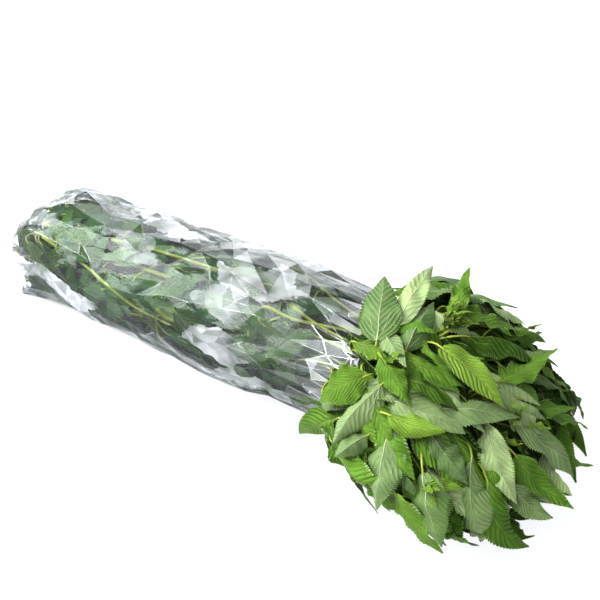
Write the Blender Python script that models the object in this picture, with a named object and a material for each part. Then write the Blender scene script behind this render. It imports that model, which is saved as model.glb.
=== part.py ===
"""A bunch of jute leaves lying on its side, its cut stems and lower leaves in a clear film bag.

Metres, +Z up. +X runs along the bunch, from the cut ends of the stems to the leafy head, and the bunch lies
on the plane z = 0. A place on the bunch is a distance along it, from near the mouth of the bag, and an angle
around it: 0 is the near side, -Y, 90 the top, 180 the far side and 270 the underside. When all is in place,
the middle of the underside is moved to the origin.
"""

import math
import random

import bmesh
import bpy
import numpy as np
from mathutils import Matrix, Vector
from mathutils.bvhtree import BVHTree

# Driving dimensions of the leafy stems
STEM_RINGS = ((13, 1.0, 0.0), (7, 0.52, 20.0), (2, 0.12, 60.0))  # count, share of the spread, first angle
STEM_RADIUS_CUT = 0.0031
STEM_RADIUS_TIP = 0.0013
STEM_SIDES = 5
STEM_POINTS = 9
CUT_END = -0.322
CUT_END_SPREAD = 0.030
TIP_ALONG = {1.0: (0.130, 0.205), 0.52: (0.165, 0.240), 0.12: (0.215, 0.245)}

LEAF_LENGTH = 0.080
LEAF_WIDTH_SHARE = 0.43
RIB_THICKNESS = 0.0014
PETIOLE_RADIUS = 0.0011
YOUNG_LEAF_LENGTH = 0.031
CLEARANCE = 0.0004
FLOOR_CLEARANCE = 0.0012
LOWEST_RIB = 0.006

# Driving dimensions of the film bag
FILM_THICKNESS = 0.0008
BAG_SIDES = 22
BAG_RINGS = 17
BAG_CRUMPLE = 0.0042
MOUTH_RAGGED = 0.013
MOUTH_FLARE = 0.004
FLAT_BELOW = 0.0025

# Sections across the bunch: along, half width, height, sideways shift of the middle
BAG_SECTIONS = (
    (-0.335, 0.052, 0.084, 0.0),
    (-0.320, 0.060, 0.096, 0.0),
    (-0.250, 0.070, 0.106, 0.0),
    (-0.150, 0.078, 0.111, 0.0),
    (-0.050, 0.080, 0.113, 0.0),
    (0.020, 0.074, 0.112, 0.0),
    (0.052, 0.070, 0.106, 0.0),
)
HEAD_SECTIONS = (
    (0.035, 0.080, 0.120, 0.0),
    (0.075, 0.106, 0.144, -0.005),
    (0.110, 0.127, 0.156, -0.014),
    (0.150, 0.138, 0.156, -0.026),
    (0.200, 0.138, 0.136, -0.036),
    (0.250, 0.122, 0.100, -0.042),
    (0.280, 0.098, 0.070, -0.044),
    (0.305, 0.058, 0.040, -0.042),
)
SPREAD_SECTIONS = (
    (-0.340, 0.034, 0.056, 0.0),
    (-0.250, 0.050, 0.074, 0.0),
    (-0.100, 0.058, 0.082, 0.0),
    (0.000, 0.052, 0.074, 0.0),
    (0.055, 0.043, 0.062, -0.002),
    (0.100, 0.066, 0.092, -0.010),
    (0.150, 0.090, 0.106, -0.022),
    (0.200, 0.100, 0.094, -0.033),
    (0.250, 0.092, 0.064, -0.040),
)
MIDDLE_HEIGHT = 0.48
SPREAD_MIDDLE = ((-0.340, 0.043), (-0.10, 0.056), (0.055, 0.056), (0.15, 0.070), (0.20, 0.064), (0.25, 0.048))

# The outer leaves of the head as they lie on its near side and top. Each row is the base (along, around),
# the tip (along, around), how far the tip stands off, and the width. Lengths are in metres, angles in degrees.
SHOWN_LEAVES = (
    (0.170, 85, 0.238, 84, 0.006, 0.045),
    (0.120, 66, 0.090, 92, 0.010, 0.046),
    (0.125, 78, 0.118, 112, 0.012, 0.030),
    (0.145, 74, 0.138, 100, 0.004, 0.034),
    (0.110, 74, 0.160, 64, 0.012, 0.024),
    (0.165, 100, 0.140, 126, 0.030, 0.022),
    (0.155, 106, 0.205, 118, 0.006, 0.036),
    (0.178, 100, 0.230, 124, 0.008, 0.036),
    (0.190, 118, 0.225, 142, 0.014, 0.034),
    (0.220, 96, 0.240, 130, 0.022, 0.032),
    (0.218, 92, 0.268, 104, 0.010, 0.030),
    (0.240, 102, 0.280, 120, 0.026, 0.028),
    (0.145, 68, 0.205, 80, 0.002, 0.036),
    (0.160, 62, 0.212, 70, -0.004, 0.032),
    (0.180, 55, 0.250, 88, 0.008, 0.040),
    (0.158, 52, 0.222, 62, 0.008, 0.042),
    (0.165, 44, 0.215, 52, 0.014, 0.028),
    (0.130, 50, 0.096, 22, 0.006, 0.044),
    (0.148, 52, 0.130, 12, 0.010, 0.034),
    (0.120, 20, 0.070, -16, 0.012, 0.036),
    (0.130, 34, 0.090, 6, 0.004, 0.036),
    (0.172, 40, 0.186, -4, 0.008, 0.050),
    (0.165, 26, 0.135, 2, 0.012, 0.034),
    (0.212, 34, 0.246, -2, 0.006, 0.046),
    (0.238, 58, 0.276, 10, 0.006, 0.054),
    (0.256, 54, 0.300, 8, 0.004, 0.038),
    (0.232, 76, 0.284, 50, 0.012, 0.034),
    (0.248, 88, 0.305, 100, 0.010, 0.046),
    (0.255, 104, 0.292, 136, 0.018, 0.030),
    (0.272, 98, 0.312, 118, 0.014, 0.028),
    (0.262, 76, 0.318, 66, 0.012, 0.032),
    (0.272, 44, 0.316, 26, 0.008, 0.036),
    (0.204, 52, 0.246, 44, 0.004, 0.036),
    (0.208, 66, 0.252, 72, -0.002, 0.034),
    (0.202, 12, 0.238, -22, 0.006, 0.038),
    (0.208, 24, 0.250, 4, -0.006, 0.050),
    (0.244, 18, 0.288, -14, 0.004, 0.038),
    (0.240, 66, 0.284, 38, -0.004, 0.040),
    (0.118, 46, 0.168, 56, 0.004, 0.030),
    (0.132, 62, 0.178, 54, -0.002, 0.030),
)

# Where the other leaves grow: along and around the bunch, how deep below its outside, how far the tips lift,
# and whether they point back over the mouth of the bag
HEAD_LAYERS = (
    {"count": 12, "along": (0.092, 0.118), "around": (135, 375), "depth": 0.001, "lift": 0.004, "back": True},
    {"count": 38, "along": (0.075, 0.255), "around": (125, 345), "depth": 0.006, "lift": 0.009, "back": False},
    {"count": 30, "along": (0.070, 0.255), "around": (-30, 330), "depth": 0.014, "lift": 0.008, "back": False},
)
BAG_LAYERS = (
    {"count": 40, "along": (-0.315, 0.000), "around": (-60, 300), "depth": 0.0065, "lift": 0.0, "back": False},
)
TRIES = 84
DEPTH_STEPS = 7
DEPTH_STEP = 0.0022
BASE_SUNK = 0.008
STEMS_TRIED = 7
LONGEST_STALK = 0.085
FRONT = 0.302
BLADE_STATIONS = (0.12, 0.38, 0.70)
YOUNG_STATIONS = (0.35,)
SEED = 7

LEAF_GREEN = (0.105, 0.235, 0.045, 1.0)
FILM_CLEAR = (0.86, 0.88, 0.90, 0.28)


def clear_scene():
    for obj in list(bpy.data.objects):
        bpy.data.objects.remove(obj)


def material(name, colour, roughness):
    made = bpy.data.materials.new(name)
    made.use_nodes = True
    shader = made.node_tree.nodes["Principled BSDF"]
    shader.inputs["Base Color"].default_value = colour
    shader.inputs["Alpha"].default_value = colour[3]
    shader.inputs["Roughness"].default_value = roughness
    shader.inputs["Metallic"].default_value = 0.0
    return made


def section(table, along):
    """Half width, half height, sideways shift and middle height of the bunch at this distance along it."""
    columns = np.array(table).T
    half_width, height, shift = (np.interp(along, columns[0], column) for column in columns[1:])
    return half_width, height * (1 - MIDDLE_HEIGHT), shift, height * MIDDLE_HEIGHT


def on_surface(table, along, around, depth=0.0):
    """The point at that place on the bunch, depth below its outside, and the way out of it there."""
    half_width, half_height, shift, middle = section(table, along)
    angle = math.radians(around)
    outward = Vector((0.0, -math.cos(angle) / half_width, math.sin(angle) / half_height)).normalized()
    point = Vector((along, shift - half_width * math.cos(angle), middle + half_height * math.sin(angle)))
    point.z = max(point.z, 0.0)
    return point - outward * depth, outward


def stem_path(share, angle, tip_along, draw):
    """Points along one stem: close together in the bag, drawn in at its mouth and fanned out in the head."""
    start = CUT_END + draw.uniform(0, CUT_END_SPREAD)
    sway = draw.uniform(-4, 4)
    heights = np.array(SPREAD_MIDDLE).T
    points = []
    for i in range(STEM_POINTS):
        along = start + (tip_along - start) * i / (STEM_POINTS - 1)
        columns = np.array(SPREAD_SECTIONS).T
        half_width, height, shift = (np.interp(along, columns[0], column) for column in columns[1:])
        turn = math.radians(angle + sway * math.sin(9 * along) + 18 * along)
        points.append(
            Vector(
                (
                    along,
                    shift - share * half_width * math.cos(turn),
                    np.interp(along, *heights) + share * height / 2 * math.sin(turn),
                )
            )
        )
    return points


def stem_radius(i):
    return STEM_RADIUS_CUT + (STEM_RADIUS_TIP - STEM_RADIUS_CUT) * i / (STEM_POINTS - 1)


def tube(points, radii, sides):
    """Vertices and faces of a closed tube with flat ends."""
    vertices, faces = [], []
    for i, point in enumerate(points):
        ahead = points[min(i + 1, len(points) - 1)] - points[max(i - 1, 0)]
        across = ahead.cross(Vector((0, 0, 1))).normalized()
        over = across.cross(ahead).normalized()
        for k in range(sides):
            turn = 2 * math.pi * k / sides
            vertices.append(point + (across * math.cos(turn) + over * math.sin(turn)) * radii[i])
    for i in range(len(points) - 1):
        for k in range(sides):
            a, b = i * sides + k, i * sides + (k + 1) % sides
            faces.append((a, b, b + sides, a + sides))
    faces.append(tuple(reversed(range(sides))))
    faces.append(tuple(range(len(vertices) - sides, len(vertices))))
    return vertices, faces


def along_leaf(base, middle, tip, share):
    """A point on the arc through a blade's base, middle and tip."""
    return (
        base * (2 * share - 1) * (share - 1)
        + middle * 4 * share * (1 - share)
        + tip * share * (2 * share - 1)
    )


def blade_share(share):
    """Half the blade's width at this share of its length, against the widest: round at the base, long at the tip."""
    return math.sin(math.pi * share**0.62) ** 0.9


def leaf(root, place, grow=0.0):
    """Vertices and faces of one leaf, a stalk that widens into an arched blade, closed and four-sided all along.

    root is the point in the stem that it grows from, and grow makes it thicker and wider all over."""
    base, middle, tip, width = place["base"], place["middle"], place["tip"], place["width"]
    rows = [(root, PETIOLE_RADIUS * 1.15, 0.0), (base, PETIOLE_RADIUS * 0.95, 0.0)]
    for share in place["stations"]:
        rows.append((along_leaf(base, middle, tip, share), width / 2 * blade_share(share), share))
    centres = [row[0] for row in rows] + [tip]
    vertices = []
    for i, (centre, half_width, share) in enumerate(rows):
        ahead = (centres[i + 1] - centres[max(i - 1, 0)]).normalized()
        across = ahead.cross(place["facing"]).normalized()
        up = across.cross(ahead).normalized()
        if share:
            fold = math.radians(place["fold"])
            wave = place["wave"] * math.sin(9 * share + place["phase"])
            half_width += grow
            thick = RIB_THICKNESS / 2 + grow
            left = -across * half_width * math.cos(fold) + up * (half_width * math.sin(fold) + wave)
            right = across * half_width * math.cos(fold) + up * (half_width * math.sin(fold) - wave)
        else:
            half_width += grow
            thick = half_width
            left, right = -across * half_width, across * half_width
        vertices += [centre + left, centre + up * thick, centre + right, centre - up * thick]
    vertices.append(tip + (tip - middle).normalized() * grow)
    faces = [(3, 2, 1, 0)]
    for i in range(len(rows) - 1):
        for k in range(4):
            a, b = 4 * i + k, 4 * i + (k + 1) % 4
            if k % 2:
                faces += [(a, b, b + 4), (a, b + 4, a + 4)]
            else:
                faces += [(a, b, a + 4), (b, b + 4, a + 4)]
    last = len(vertices) - 1
    for k in range(4):
        faces.append((last - 4 + k, last - 4 + (k + 1) % 4, last))
    return vertices, faces


class Space:
    """What is already in place, so that the next leaf is set clear of it. A leaf may cross its own stem's stalks."""

    def __init__(self):
        self.trees, self.lows, self.highs, self.owners = [], [], [], []

    def add(self, vertices, faces, kind, number):
        corners = np.array([vertices[corner] for face in faces for corner in face])
        self.trees.append(BVHTree.FromPolygons(vertices, faces))
        self.lows.append(corners.min(0))
        self.highs.append(corners.max(0))
        self.owners.append((kind, number))

    def crossed(self, vertices, faces):
        """The kind and the stem's number of all that this shape runs through."""
        corners = np.array([vertices[corner] for face in faces for corner in face])
        low, high = corners.min(0), corners.max(0)
        if low[2] < FLOOR_CLEARANCE:
            return {("floor", None)}
        near = np.all(np.array(self.lows) < high, 1) & np.all(np.array(self.highs) > low, 1)
        tree = BVHTree.FromPolygons(vertices, faces)
        return {self.owners[i] for i in np.nonzero(near)[0] if tree.overlap(self.trees[i])}


def roots_near(stems, base, way):
    """The nearest places on the nearest stems that this leaf can grow from, as the stem's number and the point."""
    wanted = base - way * 0.016
    found = []
    for number, path in enumerate(stems):
        spots = [path[i].lerp(path[i + 1], part) for i in range(1, len(path) - 1) for part in (0.0, 0.5)]
        spot = min(spots, key=lambda point: (point - wanted).length)
        found.append(((spot - wanted).length, number, spot))
    found.sort(key=lambda one: one[0])
    return [one[1:] for one in found[:STEMS_TRIED] if one[0] < LONGEST_STALK]


def place_at(table, start, end, depth, lift, width, draw):
    """A leaf that lies over the bunch between two places (along, around), its base sunk in and its tip lifted."""
    base, _ = on_surface(table, *start, depth + (BASE_SUNK if table is HEAD_SECTIONS else 0.001))
    middle, facing = on_surface(table, (start[0] + end[0]) / 2, (start[1] + end[1]) / 2, depth)
    tip, _ = on_surface(table, *end, depth - lift)
    for point in (base, middle, tip):
        point.z = max(point.z, LOWEST_RIB)
    across = (tip - base).cross(facing).normalized()
    lean = math.radians(draw.uniform(-12, 12))
    return {
        "base": base,
        "middle": middle,
        "tip": tip,
        "width": width,
        "facing": facing * math.cos(lean) + across * math.sin(lean),
        "fold": draw.uniform(-18, 10),
        "wave": draw.uniform(0.0015, 0.0034),
        "phase": draw.uniform(0, 6),
        "stations": BLADE_STATIONS,
    }


def try_leaf(space, stems, grown, place, roots=None, may_cross=True):
    """Adds the leaf to a stem if its blade clears all other blades, and the rest clears what other stems carry.

    It may cross the stalks and stem of its own, with which it is fused, or none at all."""
    way = (place["middle"] - place["base"]).normalized()
    vertices, faces = leaf(place["base"] - way * 0.01, place, CLEARANCE)
    blade = [face for face in faces if min(face) > 3]
    crossed = space.crossed(vertices, blade)
    if any(kind in ("floor", "bag", "blade") for kind, _ in crossed) or (crossed and not may_cross):
        return False
    for number, root in roots or roots_near(stems, place["base"], way):
        if any(other != number for _, other in crossed):
            continue
        vertices, faces = leaf(root, place, CLEARANCE)
        stalk = [face for face in faces if max(face) < 8]
        crossed_too = space.crossed(vertices, stalk) - {("stem", number)}
        if any(other != number for _, other in crossed_too) or (crossed_too and not may_cross):
            continue
        space.add(vertices, blade, "blade", number)
        space.add(vertices, stalk, "stalk", number)
        grown[number].append(leaf(root, place))
        return True
    return False


def grow_shown_leaves(space, stems, grown):
    for index, (along, around, tip_along, tip_around, lift, width) in enumerate(SHOWN_LEAVES):
        for attempt in range(TRIES):
            draw = random.Random(SEED * 1000 + index * 100 + attempt)
            loose = (attempt // DEPTH_STEPS) * DEPTH_STEPS / TRIES
            shift = [draw.uniform(-loose, loose) for _ in range(4)]
            start = (along + shift[0] * 0.014, around + shift[1] * 9)
            end = (tip_along + shift[2] * 0.014, tip_around + shift[3] * 9)
            depth = attempt % DEPTH_STEPS * DEPTH_STEP
            if try_leaf(space, stems, grown, place_at(HEAD_SECTIONS, start, end, depth, lift, width, draw)):
                break


def heading_for(table, around, draw):
    """Leaves in the bag lie along it, and those of the head hang down its sides."""
    if table is BAG_SECTIONS:
        return draw.choice((0, 0, 0, 25, -25, 180)) + draw.uniform(-28, 28)
    if 200 < around % 360 < 340:
        return draw.uniform(-60, 60)
    return (around - 85) * 0.75 + draw.uniform(-32, 32)


def grow_layer(space, stems, grown, table, layer, number):
    """Spreads a layer's leaves evenly over its part of the bunch, by the golden ratio along it."""
    low, high = layer["along"]
    first, last = layer["around"]
    for index in range(layer["count"]):
        along = low + (high - low) * ((index * 0.618034 + 0.31 * number) % 1.0)
        around = first + (last - first) * (index + 0.5) / layer["count"]
        for attempt in range(TRIES):
            draw = random.Random(SEED + number * 100000 + index * 100 + attempt)
            loose = 0.3 + attempt / TRIES
            length = LEAF_LENGTH * draw.uniform(0.80, 1.20) * (1 - 0.25 * attempt / TRIES)
            here = around + draw.uniform(-14, 14) * loose
            there = min(max(along + draw.uniform(-0.022, 0.022) * loose, low), high)
            heading = math.radians(heading_for(table, here, draw) + 180 * layer["back"])
            half_width, half_height, _, _ = section(table, there + 0.02)
            spin = math.radians(here)
            radius = math.hypot(half_width * math.sin(spin), half_height * math.cos(spin))
            turn = math.degrees(length * math.sin(heading) / radius)
            end = (min(there + length * math.cos(heading), FRONT), here + turn)
            depth = layer["depth"] + attempt % DEPTH_STEPS * DEPTH_STEP * (table is HEAD_SECTIONS)
            lift = layer["lift"] * draw.uniform(0.3, 1.5)
            width = length * LEAF_WIDTH_SHARE * draw.uniform(0.85, 1.15)
            place = place_at(table, (there, here), end, depth, lift, width, draw)
            if try_leaf(space, stems, grown, place, may_cross=attempt > TRIES * 0.7):
                break


def grow_young_leaves(space, stems, grown):
    """Two small leaves at the growing tip of each stem."""
    for number, path in enumerate(stems):
        way = (path[-1] - path[-2]).normalized()
        for pair in range(2):
            for attempt in range(TRIES):
                draw = random.Random(SEED + number * 1000 + pair * 500 + attempt)
                length = YOUNG_LEAF_LENGTH * draw.uniform(0.8, 1.3)
                out = Vector([draw.uniform(-1, 1) for _ in range(3)])
                heading = (way + out * 0.7).normalized()
                facing = heading.cross(out).normalized()
                base = path[-1] + heading * 0.008
                place = {
                    "base": base,
                    "middle": base + heading * length / 2 + facing * 0.002,
                    "tip": base + heading * length,
                    "width": length * 0.42,
                    "facing": facing,
                    "fold": -12,
                    "wave": 0.0,
                    "phase": 0.0,
                    "stations": YOUNG_STATIONS,
                }
                if try_leaf(space, stems, grown, place, [(number, path[-1] - way * 0.003)]):
                    break


def make_object(name, vertices, faces, used, collection=None):
    mesh = bpy.data.meshes.new(name)
    mesh.from_pydata(vertices, [], faces)
    shape = bmesh.new()
    shape.from_mesh(mesh)
    bmesh.ops.triangulate(shape, faces=shape.faces)
    bmesh.ops.recalc_face_normals(shape, faces=shape.faces)
    shape.to_mesh(mesh)
    shape.free()
    mesh.materials.append(used)
    obj = bpy.data.objects.new(name, mesh)
    (collection or bpy.context.scene.collection).objects.link(obj)
    return obj


def keep_largest(mesh):
    """Fills any hollow that the leaves shut in, and drops loose scraps, by keeping only the outer skin."""
    shape = bmesh.new()
    shape.from_mesh(mesh)
    left = set(shape.verts)
    islands = []
    while left:
        island, edge = set(), [left.pop()]
        while edge:
            corner = edge.pop()
            island.add(corner)
            joined = {link.other_vert(corner) for link in corner.link_edges} & left
            left -= joined
            edge += joined
        islands.append(island)
    largest = max(islands, key=len)
    spare = [corner for island in islands if island is not largest for corner in island]
    bmesh.ops.delete(shape, geom=spare, context="VERTS")
    shape.to_mesh(mesh)
    shape.free()


def fuse(name, stem_shape, leaves, used):
    """One leafy stem: the stem and its leaves joined in one closed body."""
    stem = make_object(name, *stem_shape, used)
    if not leaves:
        return stem
    group = bpy.data.collections.new(name + "_leaves")
    bpy.context.scene.collection.children.link(group)
    for number, shape in enumerate(leaves):
        make_object(f"{name}_leaf_{number}", *shape, used, group)
    join = stem.modifiers.new("join", "BOOLEAN")
    join.operation = "UNION"
    join.operand_type = "COLLECTION"
    join.collection = group
    join.solver = "MANIFOLD"
    graph = bpy.context.evaluated_depsgraph_get()
    joined = bpy.data.meshes.new_from_object(stem.evaluated_get(graph))
    stem.modifiers.clear()
    stem.data = joined
    keep_largest(joined)
    for obj in list(group.objects):
        bpy.data.objects.remove(obj)
    bpy.data.collections.remove(group)
    return stem


def bag_shape():
    """The film as a closed shell, crumpled into flat facets, shut over the cut ends and open at the mouth."""
    draw = random.Random(SEED)
    start, mouth = BAG_SECTIONS[0][0], BAG_SECTIONS[-1][0]
    outer, inner = [], []
    for i in range(BAG_RINGS):
        for k in range(BAG_SIDES):
            along = start + (mouth - start) * i / (BAG_RINGS - 1)
            around = 360 * (k + 0.5 * (i % 2)) / BAG_SIDES - 90
            crumple = draw.uniform(-BAG_CRUMPLE, BAG_CRUMPLE * 0.5)
            slide = draw.uniform(-0.007, 0.007) * (0 < i)
            if i == BAG_RINGS - 1:
                slide = draw.uniform(-MOUTH_RAGGED * 0.4, MOUTH_RAGGED)
                crumple += MOUTH_FLARE * (-1) ** k
            point, outward = on_surface(BAG_SECTIONS, along + slide, around, -crumple)
            if point.z < FLAT_BELOW:
                point.z = 0.0
                outward = Vector((0, 0, -1))
            outer.append(point)
            inner.append(point - outward * FILM_THICKNESS)
    count = len(outer)
    middle = BAG_SECTIONS[0][2] * MIDDLE_HEIGHT
    end = Vector((start - 0.005, 0.0, middle))
    vertices = outer + inner + [end, end + Vector((FILM_THICKNESS, 0, 0))]
    faces = []
    for i in range(BAG_RINGS - 1):
        for k in range(BAG_SIDES):
            a, b = i * BAG_SIDES + k, i * BAG_SIDES + (k + 1) % BAG_SIDES
            c, d = a + BAG_SIDES, b + BAG_SIDES
            halves = [(a, b, d), (a, d, c)] if i % 2 else [(a, b, c), (b, d, c)]
            faces += halves
            faces += [tuple(count + corner for corner in reversed(half)) for half in halves]
    for k in range(BAG_SIDES):
        a, b = k, (k + 1) % BAG_SIDES
        faces += [(b, a, 2 * count), (count + a, count + b, 2 * count + 1)]
        a, b = count - BAG_SIDES + a, count - BAG_SIDES + b
        faces.append((a, b, count + b, count + a))
    return vertices, faces


def stand_on_origin():
    """Moves the meshes so that the middle of the whole bunch's underside is at the origin."""
    meshes = [obj.data for obj in bpy.data.objects]
    corners = np.array([corner.co for mesh in meshes for corner in mesh.vertices])
    low, high = corners.min(0), corners.max(0)
    away = Vector((-(low[0] + high[0]) / 2, -(low[1] + high[1]) / 2, -low[2]))
    for mesh in meshes:
        mesh.transform(Matrix.Translation(away))


def main():
    clear_scene()
    leaf_green = material("leaf_green", LEAF_GREEN, 0.55)
    film_clear = material("film_clear", FILM_CLEAR, 0.12)
    space = Space()
    bag = bag_shape()
    space.add(*bag, "bag", None)
    draw = random.Random(SEED)
    stems = []
    for count, share, first in STEM_RINGS:
        for k in range(count):
            tip_along = draw.uniform(*TIP_ALONG[share])
            stems.append(stem_path(share, first + 360 * k / count, tip_along, draw))
    shapes = [tube(path, [stem_radius(i) for i in range(STEM_POINTS)], STEM_SIDES) for path in stems]
    for number, shape in enumerate(shapes):
        space.add(*shape, "stem", number)
    grown = [[] for _ in stems]
    grow_shown_leaves(space, stems, grown)
    shown = sum(map(len, grown))
    grow_young_leaves(space, stems, grown)
    for number, layer in enumerate(HEAD_LAYERS):
        grow_layer(space, stems, grown, HEAD_SECTIONS, layer, number)
    head = sum(map(len, grown))
    for number, layer in enumerate(BAG_LAYERS):
        grow_layer(space, stems, grown, BAG_SECTIONS, layer, number + len(HEAD_LAYERS))
    print(f"{shown} shown leaves, {head} in the head, {sum(map(len, grown))} in all")
    make_object("film_bag", *bag, film_clear)
    for number, shape in enumerate(shapes):
        fuse(f"leafy_stem_{number + 1:02d}", shape, grown[number], leaf_green)
    stand_on_origin()


main()
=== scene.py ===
"""A bunch of jute leaves: cut stems and lower leaves in a clear crinkled bag, the leafy head spilling out.

Metres, in the CAD model's frame: +X from the cut stems to the head, +Z up, -Y the side that the camera sees.
A place on the bunch is a distance along it and an angle around it, with 0 the near side, 90 the top, 180 the
far side and 270 the underside.
"""

import math
import random

import bmesh
import bpy
import numpy as np
from mathutils import Matrix, Vector, noise
from mathutils.bvhtree import BVHTree
from mathutils.geometry import delaunay_2d_cdt


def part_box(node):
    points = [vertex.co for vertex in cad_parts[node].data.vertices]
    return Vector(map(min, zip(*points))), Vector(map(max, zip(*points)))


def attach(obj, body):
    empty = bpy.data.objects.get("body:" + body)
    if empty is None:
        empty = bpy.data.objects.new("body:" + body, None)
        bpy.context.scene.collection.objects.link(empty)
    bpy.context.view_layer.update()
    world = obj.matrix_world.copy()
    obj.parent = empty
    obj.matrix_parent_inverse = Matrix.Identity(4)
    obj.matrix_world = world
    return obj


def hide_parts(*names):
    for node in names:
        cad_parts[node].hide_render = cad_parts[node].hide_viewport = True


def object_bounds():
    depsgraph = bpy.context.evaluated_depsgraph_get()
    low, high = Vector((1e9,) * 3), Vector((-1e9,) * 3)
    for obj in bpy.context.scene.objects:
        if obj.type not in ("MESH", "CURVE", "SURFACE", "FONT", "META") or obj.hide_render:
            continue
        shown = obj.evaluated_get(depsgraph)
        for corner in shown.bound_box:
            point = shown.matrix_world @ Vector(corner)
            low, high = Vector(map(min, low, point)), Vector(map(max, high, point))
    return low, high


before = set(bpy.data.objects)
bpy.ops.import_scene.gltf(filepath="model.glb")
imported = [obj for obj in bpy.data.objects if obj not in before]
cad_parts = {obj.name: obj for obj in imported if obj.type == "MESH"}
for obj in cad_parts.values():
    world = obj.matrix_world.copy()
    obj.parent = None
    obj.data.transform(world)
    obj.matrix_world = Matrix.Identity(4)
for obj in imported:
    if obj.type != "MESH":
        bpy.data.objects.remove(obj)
cad_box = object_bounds()

# The film bag
# One thin clear polythene bag, shut over the cut ends of the stems and pulled down over the lower leaves.
# Its mouth is loose and ragged. It is crumpled into flat facets between sharp creases, with pale veils
# painted on as reflections of the room and white highlights painted along the sharper creases. It isn't
# fixed: it clings to the leaves.
SEED = 7
MIDDLE_HEIGHT = 0.48
FILM_THICKNESS = 0.0008
BAG_SIDES = 22
BAG_RINGS = 17
BAG_CRUMPLE = 0.0042
MOUTH_RAGGED = 0.013
MOUTH_FLARE = 0.004
FLAT_BELOW = 0.0025
# Distance along the bunch, half width, height and sideways shift
BAG_SECTIONS = (
    (-0.335, 0.052, 0.084, 0.0),
    (-0.320, 0.060, 0.096, 0.0),
    (-0.250, 0.070, 0.106, 0.0),
    (-0.150, 0.078, 0.111, 0.0),
    (-0.050, 0.080, 0.113, 0.0),
    (0.020, 0.074, 0.112, 0.0),
    (0.052, 0.070, 0.106, 0.0),
)


def read_off(table, along):
    """What the table's other columns say at this distance along the bunch."""
    columns = np.array(table).T
    return [np.interp(along, columns[0], column) for column in columns[1:]]


def section(table, along):
    """Half width, half height, sideways shift and middle height of the bunch at this distance along it."""
    half_width, height, shift = read_off(table, along)
    return half_width, height * (1 - MIDDLE_HEIGHT), shift, height * MIDDLE_HEIGHT


def on_surface(table, along, around, depth=0.0):
    """The point at that place on the bunch, depth below its outside, and the way out of it there."""
    half_width, half_height, shift, middle = section(table, along)
    angle = math.radians(around)
    outward = Vector((0.0, -math.cos(angle) / half_width, math.sin(angle) / half_height)).normalized()
    point = Vector((along, shift - half_width * math.cos(angle), middle + half_height * math.sin(angle)))
    point.z = max(point.z, 0.0)
    return point - outward * depth, outward


def plain_bag():
    """The bag's coarse shell as the CAD model has it, both skins, and how many corners the outer one has."""
    draw = random.Random(SEED)
    start, mouth = BAG_SECTIONS[0][0], BAG_SECTIONS[-1][0]
    outer, inner = [], []
    for i in range(BAG_RINGS):
        for k in range(BAG_SIDES):
            along = start + (mouth - start) * i / (BAG_RINGS - 1)
            around = 360 * (k + 0.5 * (i % 2)) / BAG_SIDES - 90
            crumple = draw.uniform(-BAG_CRUMPLE, BAG_CRUMPLE * 0.5)
            slide = draw.uniform(-0.007, 0.007) * (0 < i)
            if i == BAG_RINGS - 1:
                slide = draw.uniform(-MOUTH_RAGGED * 0.4, MOUTH_RAGGED)
                crumple += MOUTH_FLARE * (-1) ** k
            point, outward = on_surface(BAG_SECTIONS, along + slide, around, -crumple)
            if point.z < FLAT_BELOW:
                point.z = 0.0
                outward = Vector((0, 0, -1))
            outer.append(point)
            inner.append(point - outward * FILM_THICKNESS)
    count = len(outer)
    end = Vector((start - 0.005, 0.0, BAG_SECTIONS[0][2] * MIDDLE_HEIGHT))
    vertices = outer + inner + [end, end + Vector((FILM_THICKNESS, 0, 0))]
    faces = []
    for i in range(BAG_RINGS - 1):
        for k in range(BAG_SIDES):
            a, b = i * BAG_SIDES + k, i * BAG_SIDES + (k + 1) % BAG_SIDES
            c, d = a + BAG_SIDES, b + BAG_SIDES
            halves = [(a, b, d), (a, d, c)] if i % 2 else [(a, b, c), (b, d, c)]
            faces += halves
            faces += [tuple(count + corner for corner in reversed(half)) for half in halves]
    for k in range(BAG_SIDES):
        a, b = k, (k + 1) % BAG_SIDES
        faces += [(b, a, 2 * count), (count + a, count + b, 2 * count + 1)]
        a, b = count - BAG_SIDES + a, count - BAG_SIDES + b
        faces.append((a, b, count + b, count + a))
    return vertices, faces, count


bag_vertices, bag_faces, outer_count = plain_bag()
bag_low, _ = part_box("film_bag")
design_low = np.array(bag_vertices).min(0)
# The CAD model was moved to stand over its origin, and everything here is made unmoved, then moved alike.
MOVED = Vector((bag_low.x - design_low[0], bag_low.y - design_low[1], 0.0))

FILM_AROUND = 0.345
END_SHARE = 0.07
END_LENGTH = 0.052
# Size of the flat facets: widest in the body of the bag, narrowest at the mouth and over the shut end
FACET_WIDEST = 0.0165
FACET_NARROWEST = 0.0048
FACET_MOUTH = 0.0036
FACET_TRIES = 26000
EDGE_TRIES = 200
# How much longer than wide the facets are
FACET_STRETCH = 1.9
PLEAT_STRETCH = 4.0
MOUTH_PLEATS = 0.060
CREASE_WIDTH = 0.0013
FLATTEST_FOLD = 8
SHARPEST_FOLD = 28
BILLOW = 0.0036
# The film reaches further over the near side and the top of the mouth: by how much, where and how wide
MOUTH_FLAP = (0.026, 62.0, 105.0)
TORN_EDGE = 0.0055
BOXY_END = 0.012
FILM_LIFT = 0.0006
FILM_LOWEST = 0.0004
FILM_SEED = 31
ONCE_ROUND = 6.283
# Heights that the angles at the mouth's edge and of the facets are taken from
RIM_MIDDLE = 0.052
FILM_MIDDLE = 0.050
# Where the film is bunched up, over the far side, where it is milky; along its low side, where its painted
# reflections are strongest; and where it is drawn tight and clear of them, near the mouth: angles around and
# distances along
BUNCHED_AROUND = (68, 96, 150, 172)
LOW_AROUND = (-50, -20, 24, 44)
TIGHT_AROUND = (5, 18, 52, 66)
TIGHT_ALONG = (-0.05, -0.02, 0.03, 0.05)


def clipped(value):
    return min(1.0, max(0.0, value))


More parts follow.
